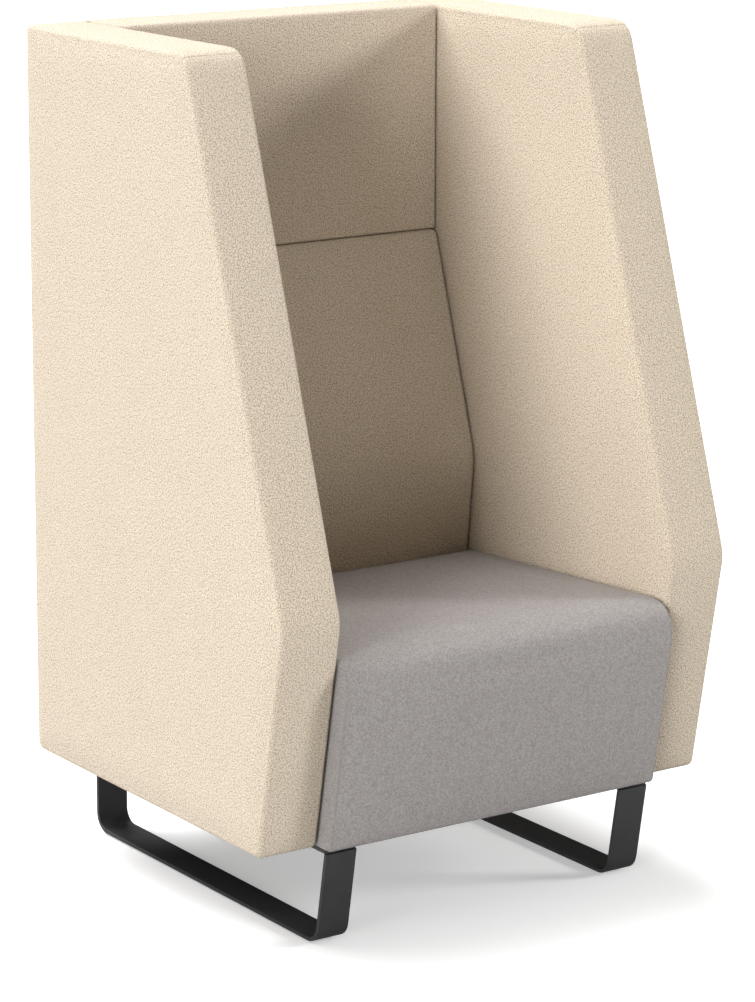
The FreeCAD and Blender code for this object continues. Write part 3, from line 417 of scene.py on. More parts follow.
# seat cushion: top falls gently to the rear, round nose, front leans in towards the bottom
pitchAngle, leanAngle = math.radians(2.9), math.radians(9.8)
seatPitch, seatLean = math.tan(pitchAngle), math.tan(leanAngle)
noseDepth, noseHeight, noseRound = 0.686, 0.410, 0.046
seatRear, seatBottom, seatRound = 0.206, 0.1536, 0.012
frontAtNose = noseDepth + noseRound / math.cos(leanAngle)
topAtNose = noseHeight + noseRound / math.cos(pitchAngle)
overhang = frontAtNose - noseDepth - seatLean * noseHeight
cornerHeight = (topAtNose + seatPitch * overhang) / (1 - seatPitch * seatLean)
cornerDepth = frontAtNose + seatLean * (cornerHeight - noseHeight)
frontLow = frontAtNose - seatLean * (noseHeight - seatBottom)
rearHigh = cornerHeight - seatPitch * (cornerDepth - seatRear)
seatCushion = {
    "outline": [(seatRear, seatBottom, seatRound), (frontLow, seatBottom, seatRound),
                (cornerDepth, cornerHeight, noseRound), (seatRear, rearHigh, seatRound)],
    "patchCorners": [0, 1, 2, 3], "crossSeams": [],
    "across": (-0.2992, 0.2992), "inset": 0.0030, "fillet": 0.0085, "filletSteps": 8,
    "lowFillet": 0.0018, "lowRise": (0.165, 0.180), "foreRise": (0.679, 0.688),
    "foreFillet": 0.0032, "topRise": (0.385, 0.445),
    "fine": 0.0015, "coarse": 0.016, "seamHold": 0.0035,
    "edgeGroove": 0.0002, "crossGroove": 0.0, "grooveWidth": 0.0012,
    "paintedCreviceShade": 0.0, "shadeWidth": 0.0018, "heldRim": 0.008,
    "topCap": 0.0075, "frontCap": 0.0060, "endCap": 0.0005, "fill": 0.7,
}


def seatHeld(shell):
    # The underside and the rear, which rest on the frame, are held
    depth, height = halfDepth - shell["points"][:, 1], shell["points"][:, 2]
    rim = seatCushion["heldRim"]
    return (height < seatBottom + rim) | (depth < seatRear + rim)


def seatCap(shell):
    # Most that a point may swell: top, front and the two ends
    strip = np.where(shell["points"][:, 2] > noseHeight, seatCushion["topCap"], seatCushion["frontCap"])
    return np.where(shell["zone"] == 0, strip, seatCushion["endCap"])


def seatShrink(depth, height):
    # Share by which the end rounding is cut down: most along the bottom, so that it covers the rails,
    # and less on the front, whose upright edges are crisper than the top's
    fore = smoothStep(depth, *seatCushion["foreRise"])
    kept = np.maximum(smoothStep(height, *seatCushion["lowRise"]), fore)
    front = fore * (1 - smoothStep(height, *seatCushion["topRise"]))
    rounding = lerp(1.0, seatCushion["foreFillet"] / seatCushion["fillet"], front)
    return 1 - lerp(seatCushion["lowFillet"] / seatCushion["fillet"], rounding, kept)


seat = putMesh("seat_cushion", *buildPad("seat_cushion", seatCushion, seatHeld, seatCap, seatShrink))
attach(seat, "root")
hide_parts("seat_cover", "seat_foam", "seat_front_foam")
print("seat done")


def carriedSection(place, distances, section, middle, name):
    # A closed section of (offset outwards, offset across) carried along a path; both ends capped flat
    spot, outward = place(distances)
    plane = spot[:, None, :] + outward[:, None, :] * section[None, :, :1]
    across = np.broadcast_to(middle + section[None, :, 1], plane.shape[:2])
    points = np.stack([across, halfDepth - plane[..., 0], plane[..., 1]], axis=-1)
    return putMesh(name, points.reshape(-1, 3), tubeFaces(*plane.shape[:2]), flatAngle=sled["sharpAngle"])


# sled frames: flat bar bent into a runner with two legs, and a welded bar under the seat
sled = {"width": 0.054, "thickness": 0.006, "edge": 0.0009, "middle": 0.271, "top": 0.150, "glide": 0.003,
        "rear": 0.003, "footDepth": 0.645, "lean": math.radians(10.2), "bend": 0.027, "step": 0.0012,
        "barFront": 0.6685, "barRear": 0.003, "barLow": 0.150, "barHigh": 0.156,
        "sharpAngle": math.radians(50), "bendSteps": 13, "frontBend": 1.12, "tipRound": 1e-6,
        "tipGap": 1e-5, "closingHeight": 1.0}


def barSection(width, thickness, edge):
    # Rectangle with rounded corners, sampled densely round them: (offset outwards, offset across)
    half, deep = width / 2, thickness / 2
    place, whole, middles = roundedLoop([(deep, -half, edge), (deep, half, edge), (-deep, half, edge),
                                         (-deep, -half, edge)])
    turn = edge * math.pi / 4
    marks = np.array([-3.0, -1.0, -0.5, 0.0, 0.5, 1.0, 3.0]) * turn  # in halves of a corner's arc
    return place(np.sort(np.mod((middles[:, None] + marks[None, :]).ravel(), whole)))[0]


def sledPieces(hand, sign):
    # Runner: down the rear leg, along the floor and up the leaning front leg; a straight bar closes it on top
    centre = sled["thickness"] / 2
    low = sled["glide"] + centre
    footLow = sled["footDepth"] + low * math.tan(sled["lean"]) - centre / math.cos(sled["lean"])
    footHigh = footLow + (sled["top"] - low) * math.tan(sled["lean"])
    rearLine = sled["rear"] + centre
    place, whole, middles = roundedLoop([(rearLine, sled["top"], sled["tipRound"]),
                                         (rearLine, low, sled["bend"]), (footLow, low, sled["bend"]),
                                         (footHigh, sled["top"], sled["tipRound"])])
    turn = sled["bend"] * math.pi / 4
    arcs = np.linspace(-1.0, 1.0, sled["bendSteps"]) * turn
    ends = np.array([0.0, sled["step"]])
    # the front corner turns past a right angle, so its marks are spread further
    distances = np.concatenate([sled["tipGap"] + ends, middles[1] + arcs,
                                middles[2] + arcs * sled["frontBend"],
                                middles[3] - sled["tipGap"] - ends[::-1]])
    section = barSection(sled["width"], sled["thickness"], sled["edge"])
    runner = carriedSection(place, distances, section, sign * sled["middle"], hand + "_sled_bar")
    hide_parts(hand + "_sled_frame")
    barMiddle = (sled["barLow"] + sled["barHigh"]) / 2
    straight = roundedLoop([(sled["barRear"], barMiddle, 0.0), (sled["barFront"], barMiddle, 0.0),
                            (sled["barFront"], sled["closingHeight"], 0.0),
                            (sled["barRear"], sled["closingHeight"], 0.0)])[0]
    length = sled["barFront"] - sled["barRear"]
    marks = np.array([0.0, sled["step"], length - sled["step"], length - sled["tipRound"]])
    top = carriedSection(straight, marks, section, sign * sled["middle"], hand + "_top_bar")
    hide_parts(hand + "_sled_top_bar")
    for piece in (runner, top):
        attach(piece, "root")
    return [runner, top]


sledBars = sledPieces("left", -1) + sledPieces("right", 1)
glide = {"radius": 0.018, "height": 0.0034, "edge": 0.001, "depths": (0.058, 0.590), "sides": 40,
         "edgeSteps": 5, "footShare": 0.5, "sharpAngle": math.radians(40)}


def glideDiscs():
    # Profile of (radius, height) turned about upright axes: flat foot, rounded edge, wall, flat top
    turn = np.linspace(0.0, math.pi / 2, glide["edgeSteps"])
    wall = glide["radius"] - glide["edge"]
    foot = np.stack([wall + glide["edge"] * np.sin(turn), glide["edge"] * (1 - np.cos(turn))], axis=1)
    profile = np.vstack([[[wall * glide["footShare"], 0.0]], foot, [[glide["radius"], glide["height"]]]])
    angle = np.linspace(0.0, 2 * math.pi, glide["sides"], endpoint=False)
    radius, height = profile[:, None, 0], profile[:, None, 1]
    level = np.broadcast_to(height, (len(profile), len(angle)))
    ring = np.stack([radius * np.cos(angle), radius * np.sin(angle), level], axis=-1)
    places = [(side * sled["middle"], halfDepth - depth, 0.0)
              for side in (-1, 1) for depth in glide["depths"]]
    points, faces = repeated(ring.reshape(-1, 3), tubeFaces(*ring.shape[:2]), places)
    return putMesh("floor_discs", points, faces, flatAngle=glide["sharpAngle"])


discs = glideDiscs()
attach(discs, "root")
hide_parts("floor_glides")
print("sled frames done")


# zigzag seat springs: bars across joined by half circles at alternate ends
spring = {"wire": 0.004, "width": 0.044, "rear": 0.2952, "front": -0.3230, "height": 0.3337, "bars": 28,
          "places": (-0.2024, -0.1012, 0.0, 0.1012, 0.2024), "arcSteps": 7, "sides": 8}


def springTubes():
    # Path: bar k runs across at rear - k * pitch, then turns by half a circle; a ring is carried along it
    pitch = (spring["rear"] - spring["front"]) / spring["bars"]
    bend = pitch / 2
    reach = spring["width"] / 2 - bend
    turn = np.where(np.arange(spring["bars"] + 1) % 2 == 0, 1.0, -1.0)[:, None]
    angle = np.linspace(-math.pi / 2, math.pi / 2, spring["arcSteps"])[None, :]
    along = spring["rear"] - np.arange(spring["bars"] + 1)[:, None] * pitch
    arcX = turn * (reach + bend * np.cos(angle))
    arcY = along - bend * (1 + np.sin(angle))
    path = np.stack([arcX, arcY], axis=-1).reshape(-1, 2)[:-spring["arcSteps"] + 1]
    path = np.vstack([[[-reach, spring["rear"]]], path])
    heading = np.gradient(path, axis=0)
    heading = heading / np.linalg.norm(heading, axis=1, keepdims=True)
    side = np.stack([heading[:, 1], -heading[:, 0]], axis=1)
    around = np.linspace(0.0, 2 * math.pi, spring["sides"], endpoint=False)
    radius = spring["wire"] / 2
    flat = path[:, None, :] + radius * np.cos(around)[None, :, None] * side[:, None, :]
    high = np.broadcast_to(spring["height"] + radius * np.sin(around)[None, :], flat.shape[:2])
    tube = np.concatenate([flat, high[..., None]], axis=-1)
    faces = [face[::-1] for face in tubeFaces(*tube.shape[:2])]
    shifts = [(across, 0.0, 0.0) for across in spring["places"]]
    return putMesh("zigzag_springs", *repeated(tube.reshape(-1, 3), faces, shifts))


springs = springTubes()
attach(springs, "root")
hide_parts("seat_springs")
print("springs done")


# dust cloth under the seat: sheet stretched flat, with a slight sag between its stapled edges
dust = {"halfWidth": 0.2900, "front": -0.3080, "rear": 0.3597, "height": 0.1564, "sag": 0.0003, "step": 0.012,
        "stapleStep": 0.045, "stapleInset": 0.008, "stapleLength": 0.010, "stapleWire": 0.0008,
        "stapleGap": 0.0002, "sharpAngle": math.radians(30)}


def dustSheet():
    # Flat grid: height falls by sag * sin * sin between the edges
    width, length = 2 * dust["halfWidth"], dust["rear"] - dust["front"]
    across = np.linspace(-dust["halfWidth"], dust["halfWidth"], round(width / dust["step"]) + 1)
    along = np.linspace(dust["front"], dust["rear"], round(length / dust["step"]) + 1)
    gridX, gridY = np.meshgrid(across, along, indexing="ij")
    shareX = (gridX + dust["halfWidth"]) / width
    shareY = (gridY - dust["front"]) / length
    drop = dust["sag"] * np.sin(math.pi * shareX) * np.sin(math.pi * shareY)
    points = np.stack([gridX, gridY, dust["height"] - drop], axis=-1).reshape(-1, 3)
    number = np.arange(gridX.size).reshape(gridX.shape)
    quads = cellCorners(number).reshape(-1, 4)
    return putMesh("dust_cloth", points, quads, points[quads.ravel()][:, :2])


def stapleRow():
    # Small flat boxes along the four edges of the dust cloth, each turned along its edge
    inset = dust["stapleInset"]
    halfX = dust["halfWidth"] - inset
    frontY, rearY = dust["front"] + inset, dust["rear"] - inset
    stepsX = np.linspace(-halfX, halfX, round(2 * halfX / dust["stapleStep"]) + 1)[1:-1]
    stepsY = np.linspace(frontY, rearY, round((rearY - frontY) / dust["stapleStep"]) + 1)[1:-1]
    rowSpots = [np.stack(np.broadcast_arrays(stepsX, row), axis=1) for row in (frontY, rearY)]
    columnSpots = [np.stack(np.broadcast_arrays(column, stepsY), axis=1) for column in (-halfX, halfX)]
    spots = np.concatenate(rowSpots + columnSpots)
    turned = np.arange(len(spots)) >= 2 * len(stepsX)
    box = np.array([[x, y, z] for z in (-1, 1) for y in (-1, 1) for x in (-1, 1)]) / 2
    size = np.where(turned[:, None], [[dust["stapleWire"], dust["stapleLength"]]],
                    [[dust["stapleLength"], dust["stapleWire"]]])
    size = np.concatenate([size, np.full((len(spots), 1), dust["stapleWire"])], axis=1)
    low = np.full((len(spots), 1), dust["height"] - dust["stapleWire"] / 2 - dust["stapleGap"])
    points = box[None] * size[:, None, :] + np.concatenate([spots, low], axis=1)[:, None, :]
    cube = np.array([[0, 2, 3, 1], [4, 5, 7, 6], [0, 1, 5, 4], [2, 6, 7, 3], [0, 4, 6, 2], [1, 3, 7, 5]])
    faces = (cube[None] + len(box) * np.arange(len(spots))[:, None, None]).reshape(-1, 4)
    return putMesh("dust_cloth_staples", points.reshape(-1, 3), faces, flatAngle=dust["sharpAngle"])


dustCloth = dustSheet()
staples = stapleRow()
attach(dustCloth, "root")
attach(staples, "root")
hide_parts("seat_dust_cover")
print("dust cloth done")


def tint(red, green, blue):
    # Display values from 0 to 255 as linear light, by the sRGB curve
    values = np.array([red, green, blue]) / 255
    light = np.where(values <= 0.04045, values / 12.92, ((values + 0.055) / 1.055) ** 2.4)
    return (*light.tolist(), 1.0)


def put(tree, kind, settings=None, inputs=None):
    # One shader node; inputs are sockets to link or constants
    node = tree.nodes.new(kind)
    for key, value in (settings or {}).items():
        setattr(node, key, value)
    for key, value in (inputs or {}).items():
        if isinstance(value, bpy.types.NodeSocket):
            tree.links.new(value, node.inputs[key])
        else:
            node.inputs[key].default_value = value
    return node


def calc(tree, operation, first, second=0.0):
    return put(tree, "ShaderNodeMath", {"operation": operation}, {0: first, 1: second}).outputs[0]


def mixed(tree, factor, first, second, mode="MIX"):
    kind = {"data_type": "RGBA", "blend_type": mode}
    return put(tree, "ShaderNodeMix", kind, {0: factor, 6: first, 7: second}).outputs[2]


def noise(tree, vector, scale, detail, roughness=0.5, distortion=0.0):
    return put(tree, "ShaderNodeTexNoise", None, {"Vector": vector, "Scale": scale, "Detail": detail,
               "Roughness": roughness, "Distortion": distortion}).outputs["Fac"]


def newGroup(name, inputs, outputs):
    # Shader group with a vector, named values in and named values out; an input of None is always given
    group = bpy.data.node_groups.new(name, "ShaderNodeTree")
    group.interface.new_socket("Vector", in_out="INPUT", socket_type="NodeSocketVector")
    for label, value in inputs.items():
        socket = group.interface.new_socket(label, in_out="INPUT", socket_type="NodeSocketFloat")
        if value is not None:
            socket.default_value = value
    for label in outputs:
        group.interface.new_socket(label, in_out="OUTPUT", socket_type="NodeSocketFloat")
    return group, group.nodes.new("NodeGroupInput"), group.nodes.new("NodeGroupOutput")


feltPebbles = {"warp": 0.0016, "warpScale": 260.0, "randomness": 0.9, "crease": (0.18, 0.62)}


def pebbledGroup():
    # Pebbled felt: distance to the nearest cell centre on a slightly warped plane, light on top, dark between
    group, start, end = newGroup("pebbledFelt", {"Scale": None, "Warp": feltPebbles["warp"]},
                                 ["Crease", "Height"])
    sway = put(group, "ShaderNodeTexNoise", {"noise_dimensions": "2D"},
               {"Vector": start.outputs["Vector"], "Scale": feltPebbles["warpScale"], "Detail": 0.0})
    centred = put(group, "ShaderNodeVectorMath", {"operation": "SUBTRACT"},
                  {0: sway.outputs["Color"], 1: (0.5, 0.5, 0.5)})
    scaled = put(group, "ShaderNodeVectorMath", {"operation": "SCALE"},
                 {0: centred.outputs[0], "Scale": start.outputs["Warp"]})
    moved = put(group, "ShaderNodeVectorMath", {"operation": "ADD"},
                {0: start.outputs["Vector"], 1: scaled.outputs[0]})
    cells = put(group, "ShaderNodeTexVoronoi", {"voronoi_dimensions": "2D", "feature": "F1"},
                {"Vector": moved.outputs[0], "Scale": start.outputs["Scale"],
                 "Randomness": feltPebbles["randomness"]})
    near, far = feltPebbles["crease"]
    crease = put(group, "ShaderNodeMapRange", {"interpolation_type": "SMOOTHSTEP"},
                 {"Value": cells.outputs["Distance"], "From Min": near, "From Max": far})
    group.links.new(crease.outputs[0], end.inputs["Crease"])
    group.links.new(calc(group, "SUBTRACT", 1.0, crease.outputs[0]), end.inputs["Height"])
    return group


yarns = {"along": 0.06, "scale": 0.73, "detail": 1.0, "seeds": (3.0, 9.0), "lift": 0.5}


def weaveGroup():
    # Plain weave: the warp is on top in every other cell, yarns are rounded by sines, each has its own tone
    # and each crossing its own fleck
    group, start, end = newGroup("plainWeave", {"Pitch": None}, ["Height", "Tone", "Fleck"])
    parts = put(group, "ShaderNodeSeparateXYZ", None, {0: start.outputs["Vector"]})
    cells = [calc(group, "DIVIDE", parts.outputs[axis], start.outputs["Pitch"]) for axis in (0, 1)]
    floors = [calc(group, "FLOOR", cell) for cell in cells]
    odd = calc(group, "ABSOLUTE", calc(group, "MODULO", calc(group, "ADD", *floors), 2.0))
    even = calc(group, "SUBTRACT", 1.0, odd)
    rounds = [calc(group, "ABSOLUTE", calc(group, "SINE", calc(group, "MULTIPLY", cell, math.pi)))
              for cell in cells]
    lift = yarns["lift"]
    lifts = [calc(group, "ADD", lift, calc(group, "MULTIPLY", value, 1 - lift)) for value in rounds]
    warp = calc(group, "MULTIPLY", calc(group, "MULTIPLY", rounds[0], lifts[1]), even)
    weft = calc(group, "MULTIPLY", calc(group, "MULTIPLY", rounds[1], lifts[0]), odd)
    group.links.new(calc(group, "ADD", warp, weft), end.inputs["Height"])
    tones = []
    for axis, share in ((0, even), (1, odd)):
        stretched = calc(group, "MULTIPLY", cells[1 - axis], yarns["along"])
        spot = {axis: floors[axis], 1 - axis: stretched, 2: yarns["seeds"][axis]}
        yarn = put(group, "ShaderNodeCombineXYZ", None, spot)
        tone = noise(group, yarn.outputs[0], yarns["scale"], yarns["detail"])
        tones.append(calc(group, "MULTIPLY", tone, share))
    group.links.new(calc(group, "ADD", *tones), end.inputs["Tone"])
    crossing = put(group, "ShaderNodeCombineXYZ", None, {0: floors[0], 1: floors[1]})
    fleck = put(group, "ShaderNodeTexWhiteNoise", {"noise_dimensions": "2D"}, {"Vector": crossing.outputs[0]})
    group.links.new(fleck.outputs["Value"], end.inputs["Fleck"])
    return group


slowTone = {"scale": 6.0, "detail": 3.0, "roughness": 0.55, "middle": 0.5}


def driftGroup():
    # Slow change of tone over a surface: a value around 1 to multiply a colour by
    group, start, end = newGroup("toneDrift", {"Amount": None, "Scale": slowTone["scale"]}, ["Tone"])
    slow = noise(group, start.outputs["Vector"], start.outputs["Scale"], slowTone["detail"],
                 slowTone["roughness"])
    reach = calc(group, "MULTIPLY", start.outputs["Amount"], 2.0)
    spread = calc(group, "MULTIPLY", calc(group, "SUBTRACT", slow, slowTone["middle"]), reach)
    group.links.new(calc(group, "ADD", 1.0, spread), end.inputs["Tone"])
    return group


longGrain = {"stretch": (60.0, 60.0, 4.0), "detail": 4.0, "roughness": 0.6, "distortion": 0.4}


def woodGroup():
    # Long grain: noise stretched along the height, with finer streaks
    group, start, end = newGroup("woodGrain", {}, ["Grain"])
    stretched = put(group, "ShaderNodeMapping", None,
                    {"Vector": start.outputs["Vector"], "Scale": longGrain["stretch"]})
    streak = noise(group, stretched.outputs[0], 1.0, longGrain["detail"], longGrain["roughness"],
                   longGrain["distortion"])
    group.links.new(streak, end.inputs["Grain"])
    return group


powderSpots = {"fine": 1500.0, "fineDetail": 1.0, "slow": 35.0, "slowDetail": 3.0}


def powderGroup():
    # Fine powder grain: small noise for bump and a slow change for tone and roughness
    group, start, end = newGroup("powderGrain", {"Scale": powderSpots["fine"]}, ["Height", "Rough"])
    fine = noise(group, start.outputs["Vector"], start.outputs["Scale"], powderSpots["fineDetail"])
    slow = noise(group, start.outputs["Vector"], powderSpots["slow"], powderSpots["slowDetail"])
    group.links.new(fine, end.inputs["Height"])
    group.links.new(slow, end.inputs["Rough"])
    return group


felt, weave, drift, wood, powder = pebbledGroup(), weaveGroup(), driftGroup(), woodGroup(), powderGroup()


def newMaterial(name):
    material = bpy.data.materials.new(name)
    material.use_nodes = True
    tree = material.node_tree
    surface = tree.nodes["Principled BSDF"]
    coordinates = put(tree, "ShaderNodeTexCoord")
    return material, tree, surface, coordinates


def useGroup(tree, group, inputs):
    return put(tree, "ShaderNodeGroup", {"node_tree": group}, inputs)


def bumped(tree, surface, height, distance, strength):
    bump = put(tree, "ShaderNodeBump", None, {"Height": height, "Distance": distance, "Strength": strength})
    tree.links.new(bump.outputs[0], surface.inputs["Normal"])


def seamAndShadeMask(tree):
    # Nearness to a sewn seam, and painted crevice shade at the ends of the back pieces, from the mesh
    return put(tree, "ShaderNodeAttribute", {"attribute_name": "seamAndShade"}).outputs["Fac"]


# the seam tone darkens stitched seams and is the painted crevice shade at the ends of the back pieces
cream = {"light": tint(228, 214, 195), "dark": tint(180, 166, 146), "seamAndShade": tint(96, 84, 68), "scale": 425.0,
         "bump": 0.0009, "strength": 0.7, "roughness": 0.92, "sheen": 0.1, "drift": 0.02,
         "gloss": 0.2, "seamShade": 0.36, "stitch": 0.0055, "stitchMean": 0.65, "stitchSwing": 0.35}


def creamFabric():
    # Pebbled felt in two tones, with dotted stitches where a seam runs, and painted shade along the
    # crevices at the ends of the back pieces
    material, tree, surface, coordinates = newMaterial("creamFabric")
    where = coordinates.outputs["Object"]
    grain = useGroup(tree, felt, {"Vector": coordinates.outputs["UV"], "Scale": cream["scale"]})
    tone = useGroup(tree, drift, {"Vector": where, "Amount": cream["drift"]})
    colour = mixed(tree, grain.outputs["Crease"], cream["light"], cream["dark"])
    colour = mixed(tree, 1.0, colour, tone.outputs["Tone"], "MULTIPLY")
    across = put(tree, "ShaderNodeSeparateXYZ", None, {0: where}).outputs[0]
    wave = calc(tree, "SINE", calc(tree, "MULTIPLY", across, 2 * math.pi / cream["stitch"]))
    stitched = calc(tree, "ADD", cream["stitchMean"], calc(tree, "MULTIPLY", wave, cream["stitchSwing"]))
    # seam tone mixed in over stitches, and as painted shade in the crevices at the back pieces' ends
    shade = calc(tree, "MULTIPLY", calc(tree, "MULTIPLY", seamAndShadeMask(tree), stitched), cream["seamShade"])
    tree.links.new(mixed(tree, shade, colour, cream["seamAndShade"]), surface.inputs["Base Color"])
    surface.inputs["Roughness"].default_value = cream["roughness"]
    surface.inputs["Sheen Weight"].default_value = cream["sheen"]
    surface.inputs["Specular IOR Level"].default_value = cream["gloss"]
    bumped(tree, surface, grain.outputs["Height"], cream["bump"], cream["strength"])
    return material


grey = {"light": tint(196, 190, 187), "dark": tint(118, 113, 111), "seamAndShade": tint(60, 57, 55), "pitch": 0.0018,
        "shares": {"Height": 0.45, "Tone": 0.15, "Fleck": 0.4},
        "bump": 0.0010, "strength": 0.8, "roughness": 0.9, "sheen": 0.1, "gloss": 0.2, "drift": 0.03,
        "seamShade": 0.5}


def greyFabric():
    # Plain weave in two tones: height, yarn tone and fleck add up to the share of the light one
    material, tree, surface, coordinates = newMaterial("greyFabric")
    threads = useGroup(tree, weave, {"Vector": coordinates.outputs["UV"], "Pitch": grey["pitch"]})
    tone = useGroup(tree, drift, {"Vector": coordinates.outputs["Object"], "Amount": grey["drift"]})
    shares = [calc(tree, "MULTIPLY", threads.outputs[label], part) for label, part in grey["shares"].items()]
    share = calc(tree, "ADD", calc(tree, "ADD", *shares[:2]), shares[2])
    colour = mixed(tree, share, grey["dark"], grey["light"])
    colour = mixed(tree, 1.0, colour, tone.outputs["Tone"], "MULTIPLY")
    shade = calc(tree, "MULTIPLY", seamAndShadeMask(tree), grey["seamShade"])
    tree.links.new(mixed(tree, shade, colour, grey["seamAndShade"]), surface.inputs["Base Color"])
    surface.inputs["Roughness"].default_value = grey["roughness"]
    surface.inputs["Sheen Weight"].default_value = grey["sheen"]
    surface.inputs["Specular IOR Level"].default_value = grey["gloss"]
    bumped(tree, surface, threads.outputs["Height"], grey["bump"], grey["strength"])
    return material


coat = {"light": tint(53, 53, 54), "dark": tint(44, 44, 45), "roughness": (0.42, 0.56), "bump": 0.0001,
        "strength": 0.25}


def blackCoat():
    # Powder coat: the slow noise sets tone and roughness, the fine one the bump
    material, tree, surface, coordinates = newMaterial("blackCoat")
    grain = useGroup(tree, powder, {"Vector": coordinates.outputs["Object"]})
    colour = mixed(tree, grain.outputs["Rough"], coat["dark"], coat["light"])
    tree.links.new(colour, surface.inputs["Base Color"])
    low, high = coat["roughness"]
    rough = calc(tree, "ADD", low, calc(tree, "MULTIPLY", grain.outputs["Rough"], high - low))
    tree.links.new(rough, surface.inputs["Roughness"])
    bumped(tree, surface, grain.outputs["Height"], coat["bump"], coat["strength"])
    return material


inside = {"mottle": 0.3, "strength": 0.4, "woodBump": 0.0004, "woodStrength": 0.3}  # hidden parts


def plainFinish(name, light, dark, roughness, metallic, scale, bump):
    # Fine grained finish in two tones for a hidden or small part
    material, tree, surface, coordinates = newMaterial(name)
    grain = useGroup(tree, powder, {"Vector": coordinates.outputs["Object"], "Scale": scale})
    tone = mixed(tree, grain.outputs["Rough"], dark, light)
    colour = mixed(tree, inside["mottle"], tone, grain.outputs["Height"], "OVERLAY")
    tree.links.new(colour, surface.inputs["Base Color"])
    surface.inputs["Roughness"].default_value = roughness
    surface.inputs["Metallic"].default_value = metallic
    bumped(tree, surface, grain.outputs["Height"], bump, inside["strength"])
    return material


def woodFinish(name, light, dark, roughness):
    # Sawn timber or plywood in two tones along the grain
    material, tree, surface, coordinates = newMaterial(name)
    grain = useGroup(tree, wood, {"Vector": coordinates.outputs["Object"]})
    tree.links.new(mixed(tree, grain.outputs["Grain"], dark, light), surface.inputs["Base Color"])
    surface.inputs["Roughness"].default_value = roughness
    bumped(tree, surface, grain.outputs["Grain"], inside["woodBump"], inside["woodStrength"])
    return material


# finish of each material slot: light and dark tone, roughness, metallic, grain scale and bump
finishes = {
    "cream_fabric": creamFabric(),
    "grey_fabric": greyFabric(),
    "black_bar": blackCoat(),
    "timber": woodFinish("timberGrain", tint(206, 172, 128), tint(168, 128, 84), 0.7),
    "plywood": woodFinish("plywoodGrain", tint(214, 186, 146), tint(182, 146, 102), 0.65),
    "foam": plainFinish("foamCells", tint(232, 222, 190), tint(212, 200, 164), 0.95, 0.0, 700.0, 0.0012),
    "felt": plainFinish("pressedFelt", tint(120, 118, 116), tint(84, 82, 82), 0.95, 0.0, 900.0, 0.001),
    "webbing": plainFinish("elasticWeb", tint(64, 66, 72), tint(40, 42, 48), 0.8, 0.0, 800.0, 0.0006),
    "dust_cloth": plainFinish("dustCloth", tint(48, 48, 50), tint(34, 34, 36), 0.9, 0.0, 1200.0, 0.0004),
    "zinc_steel": plainFinish("zincSteel", tint(200, 202, 206), tint(168, 170, 176), 0.32, 1.0, 600.0,
                              0.00005),
    "spring_steel": plainFinish("springSteel", tint(120, 122, 126), tint(92, 94, 100), 0.38, 1.0, 600.0,
                                0.00005),
    "glide_plastic": plainFinish("glidePlastic", tint(40, 40, 41), tint(28, 28, 29), 0.5, 0.0, 1500.0,
                                 0.0001),
}


# new pieces by slot; the CAD nodes that stay take the finish of the slot that they come with
dressed = {"cream_fabric": [leftPanel, rightPanel, head, lumbar, rear], "grey_fabric": [seat],
           "black_bar": sledBars, "spring_steel": [springs], "dust_cloth": [dustCloth],
           "zinc_steel": [staples], "glide_plastic": [discs]}
for slotName, pieces in dressed.items():
    for piece in pieces:
        piece.data.materials.append(finishes[slotName])
made = {piece for pieces in dressed.values() for piece in pieces}
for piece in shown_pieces():
    if piece not in made:
        for holder in piece.material_slots:
            holder.material = finishes[holder.material.name.split(".")[0]]
print("materials done")


# pale floor: the camera sees it lighter than what it throws back on the sofa, and it fades into the backdrop
stage = {"size": 60.0, "seen": (0.80, 0.80, 0.797, 1.0), "bounce": (0.42, 0.42, 0.418, 1.0), "glow": 0.37,
         "drift": 0.006, "driftScale": 0.8, "roughness": 0.9, "gloss": 0.1,
         "white": (1.0, 1.0, 1.0, 1.0), "worldStrength": 1.0}
floorMesh = bpy.data.meshes.new("studio_floor")
half = stage["size"] / 2
corners = [(-half, -half, 0), (half, -half, 0), (half, half, 0), (-half, half, 0)]
floorMesh.from_pydata(corners, [], [(0, 1, 2, 3)])
floor = bpy.data.objects.new("studio_floor", floorMesh)
scene.collection.objects.link(floor)


def floorFinish():
    material, tree, surface, coordinates = newMaterial("paleFloor")
    tone = useGroup(tree, drift, {"Vector": coordinates.outputs["Object"], "Amount": stage["drift"],
                                  "Scale": stage["driftScale"]})
    path = put(tree, "ShaderNodeLightPath")
    colour = mixed(tree, path.outputs["Is Camera Ray"], stage["bounce"], stage["seen"])
    tree.links.new(mixed(tree, 1.0, colour, tone.outputs["Tone"], "MULTIPLY"), surface.inputs["Base Color"])
    surface.inputs["Roughness"].default_value = stage["roughness"]
    surface.inputs["Specular IOR Level"].default_value = stage["gloss"]
    surface.inputs["Emission Color"].default_value = stage["white"]
    glow = calc(tree, "MULTIPLY", path.outputs["Is Camera Ray"], stage["glow"])
    tree.links.new(glow, surface.inputs["Emission Strength"])
    return material


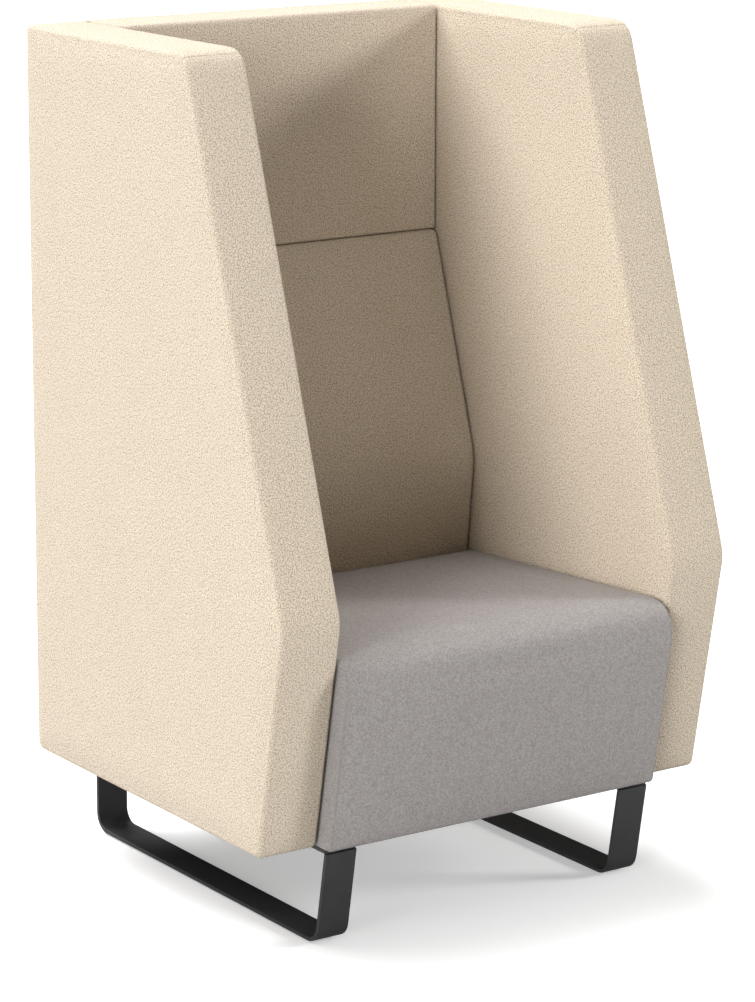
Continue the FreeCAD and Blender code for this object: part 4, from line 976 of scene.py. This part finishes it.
floorMesh.materials.append(floorFinish())
world = bpy.data.worlds.new("studio")
world.use_nodes = True
sky = world.node_tree.nodes["Background"]
sky.inputs["Color"].default_value = stage["white"]
# pale backdrop for the camera only: the lamps light the sofa
skyPath = put(world.node_tree, "ShaderNodeLightPath")
skySeen = calc(world.node_tree, "MULTIPLY", skyPath.outputs["Is Camera Ray"], stage["worldStrength"])
world.node_tree.links.new(skySeen, sky.inputs["Strength"])
scene.world = world

# soft studio lamps: azimuth from the front towards the left, elevation, size on the sky, strength
lamps = {
    "lowLeft": {"azimuth": 61.0, "elevation": 7.0, "spread": 27.0, "power": 2.6},
    "sideLeft": {"azimuth": 75.0, "elevation": 20.0, "spread": 25.0, "power": 0.12},
    "highLeft": {"azimuth": 135.0, "elevation": 55.0, "spread": 45.0, "power": 2.7},
    "highRear": {"azimuth": 180.0, "elevation": 55.0, "spread": 45.0, "power": 2.75},
    "overhead": {"azimuth": 0.0, "elevation": 85.0, "spread": 60.0, "power": 0.82},
    "frontRight": {"azimuth": 302.0, "elevation": 21.0, "spread": 15.0, "power": 2.02},
}
for name, lamp in lamps.items():
    data = bpy.data.lights.new(name, "SUN")
    data.energy = lamp["power"]
    data.angle = math.radians(lamp["spread"])
    sun = bpy.data.objects.new(name, data)
    sun.rotation_euler = (math.pi / 2 - math.radians(lamp["elevation"]), 0.0, -math.radians(lamp["azimuth"]))
    scene.collection.objects.link(sun)

view = {"place": (-3.0928, -4.5062, 1.8946), "yaw": math.radians(33.885), "pitch": math.radians(11.472),
        "lens": 130.374, "sensor": 36.0, "shift": (0.0363, -0.13)}
lensData = bpy.data.cameras.new("photoView")
lensData.lens = view["lens"]
lensData.sensor_width = view["sensor"]
lensData.shift_x, lensData.shift_y = view["shift"]
camera = bpy.data.objects.new("photoView", lensData)
camera.location = view["place"]
camera.rotation_euler = (math.pi / 2 - view["pitch"], 0.0, -view["yaw"])
scene.collection.objects.link(camera)
scene.camera = camera
scene.view_settings.view_transform = "Standard"
print("stage done")
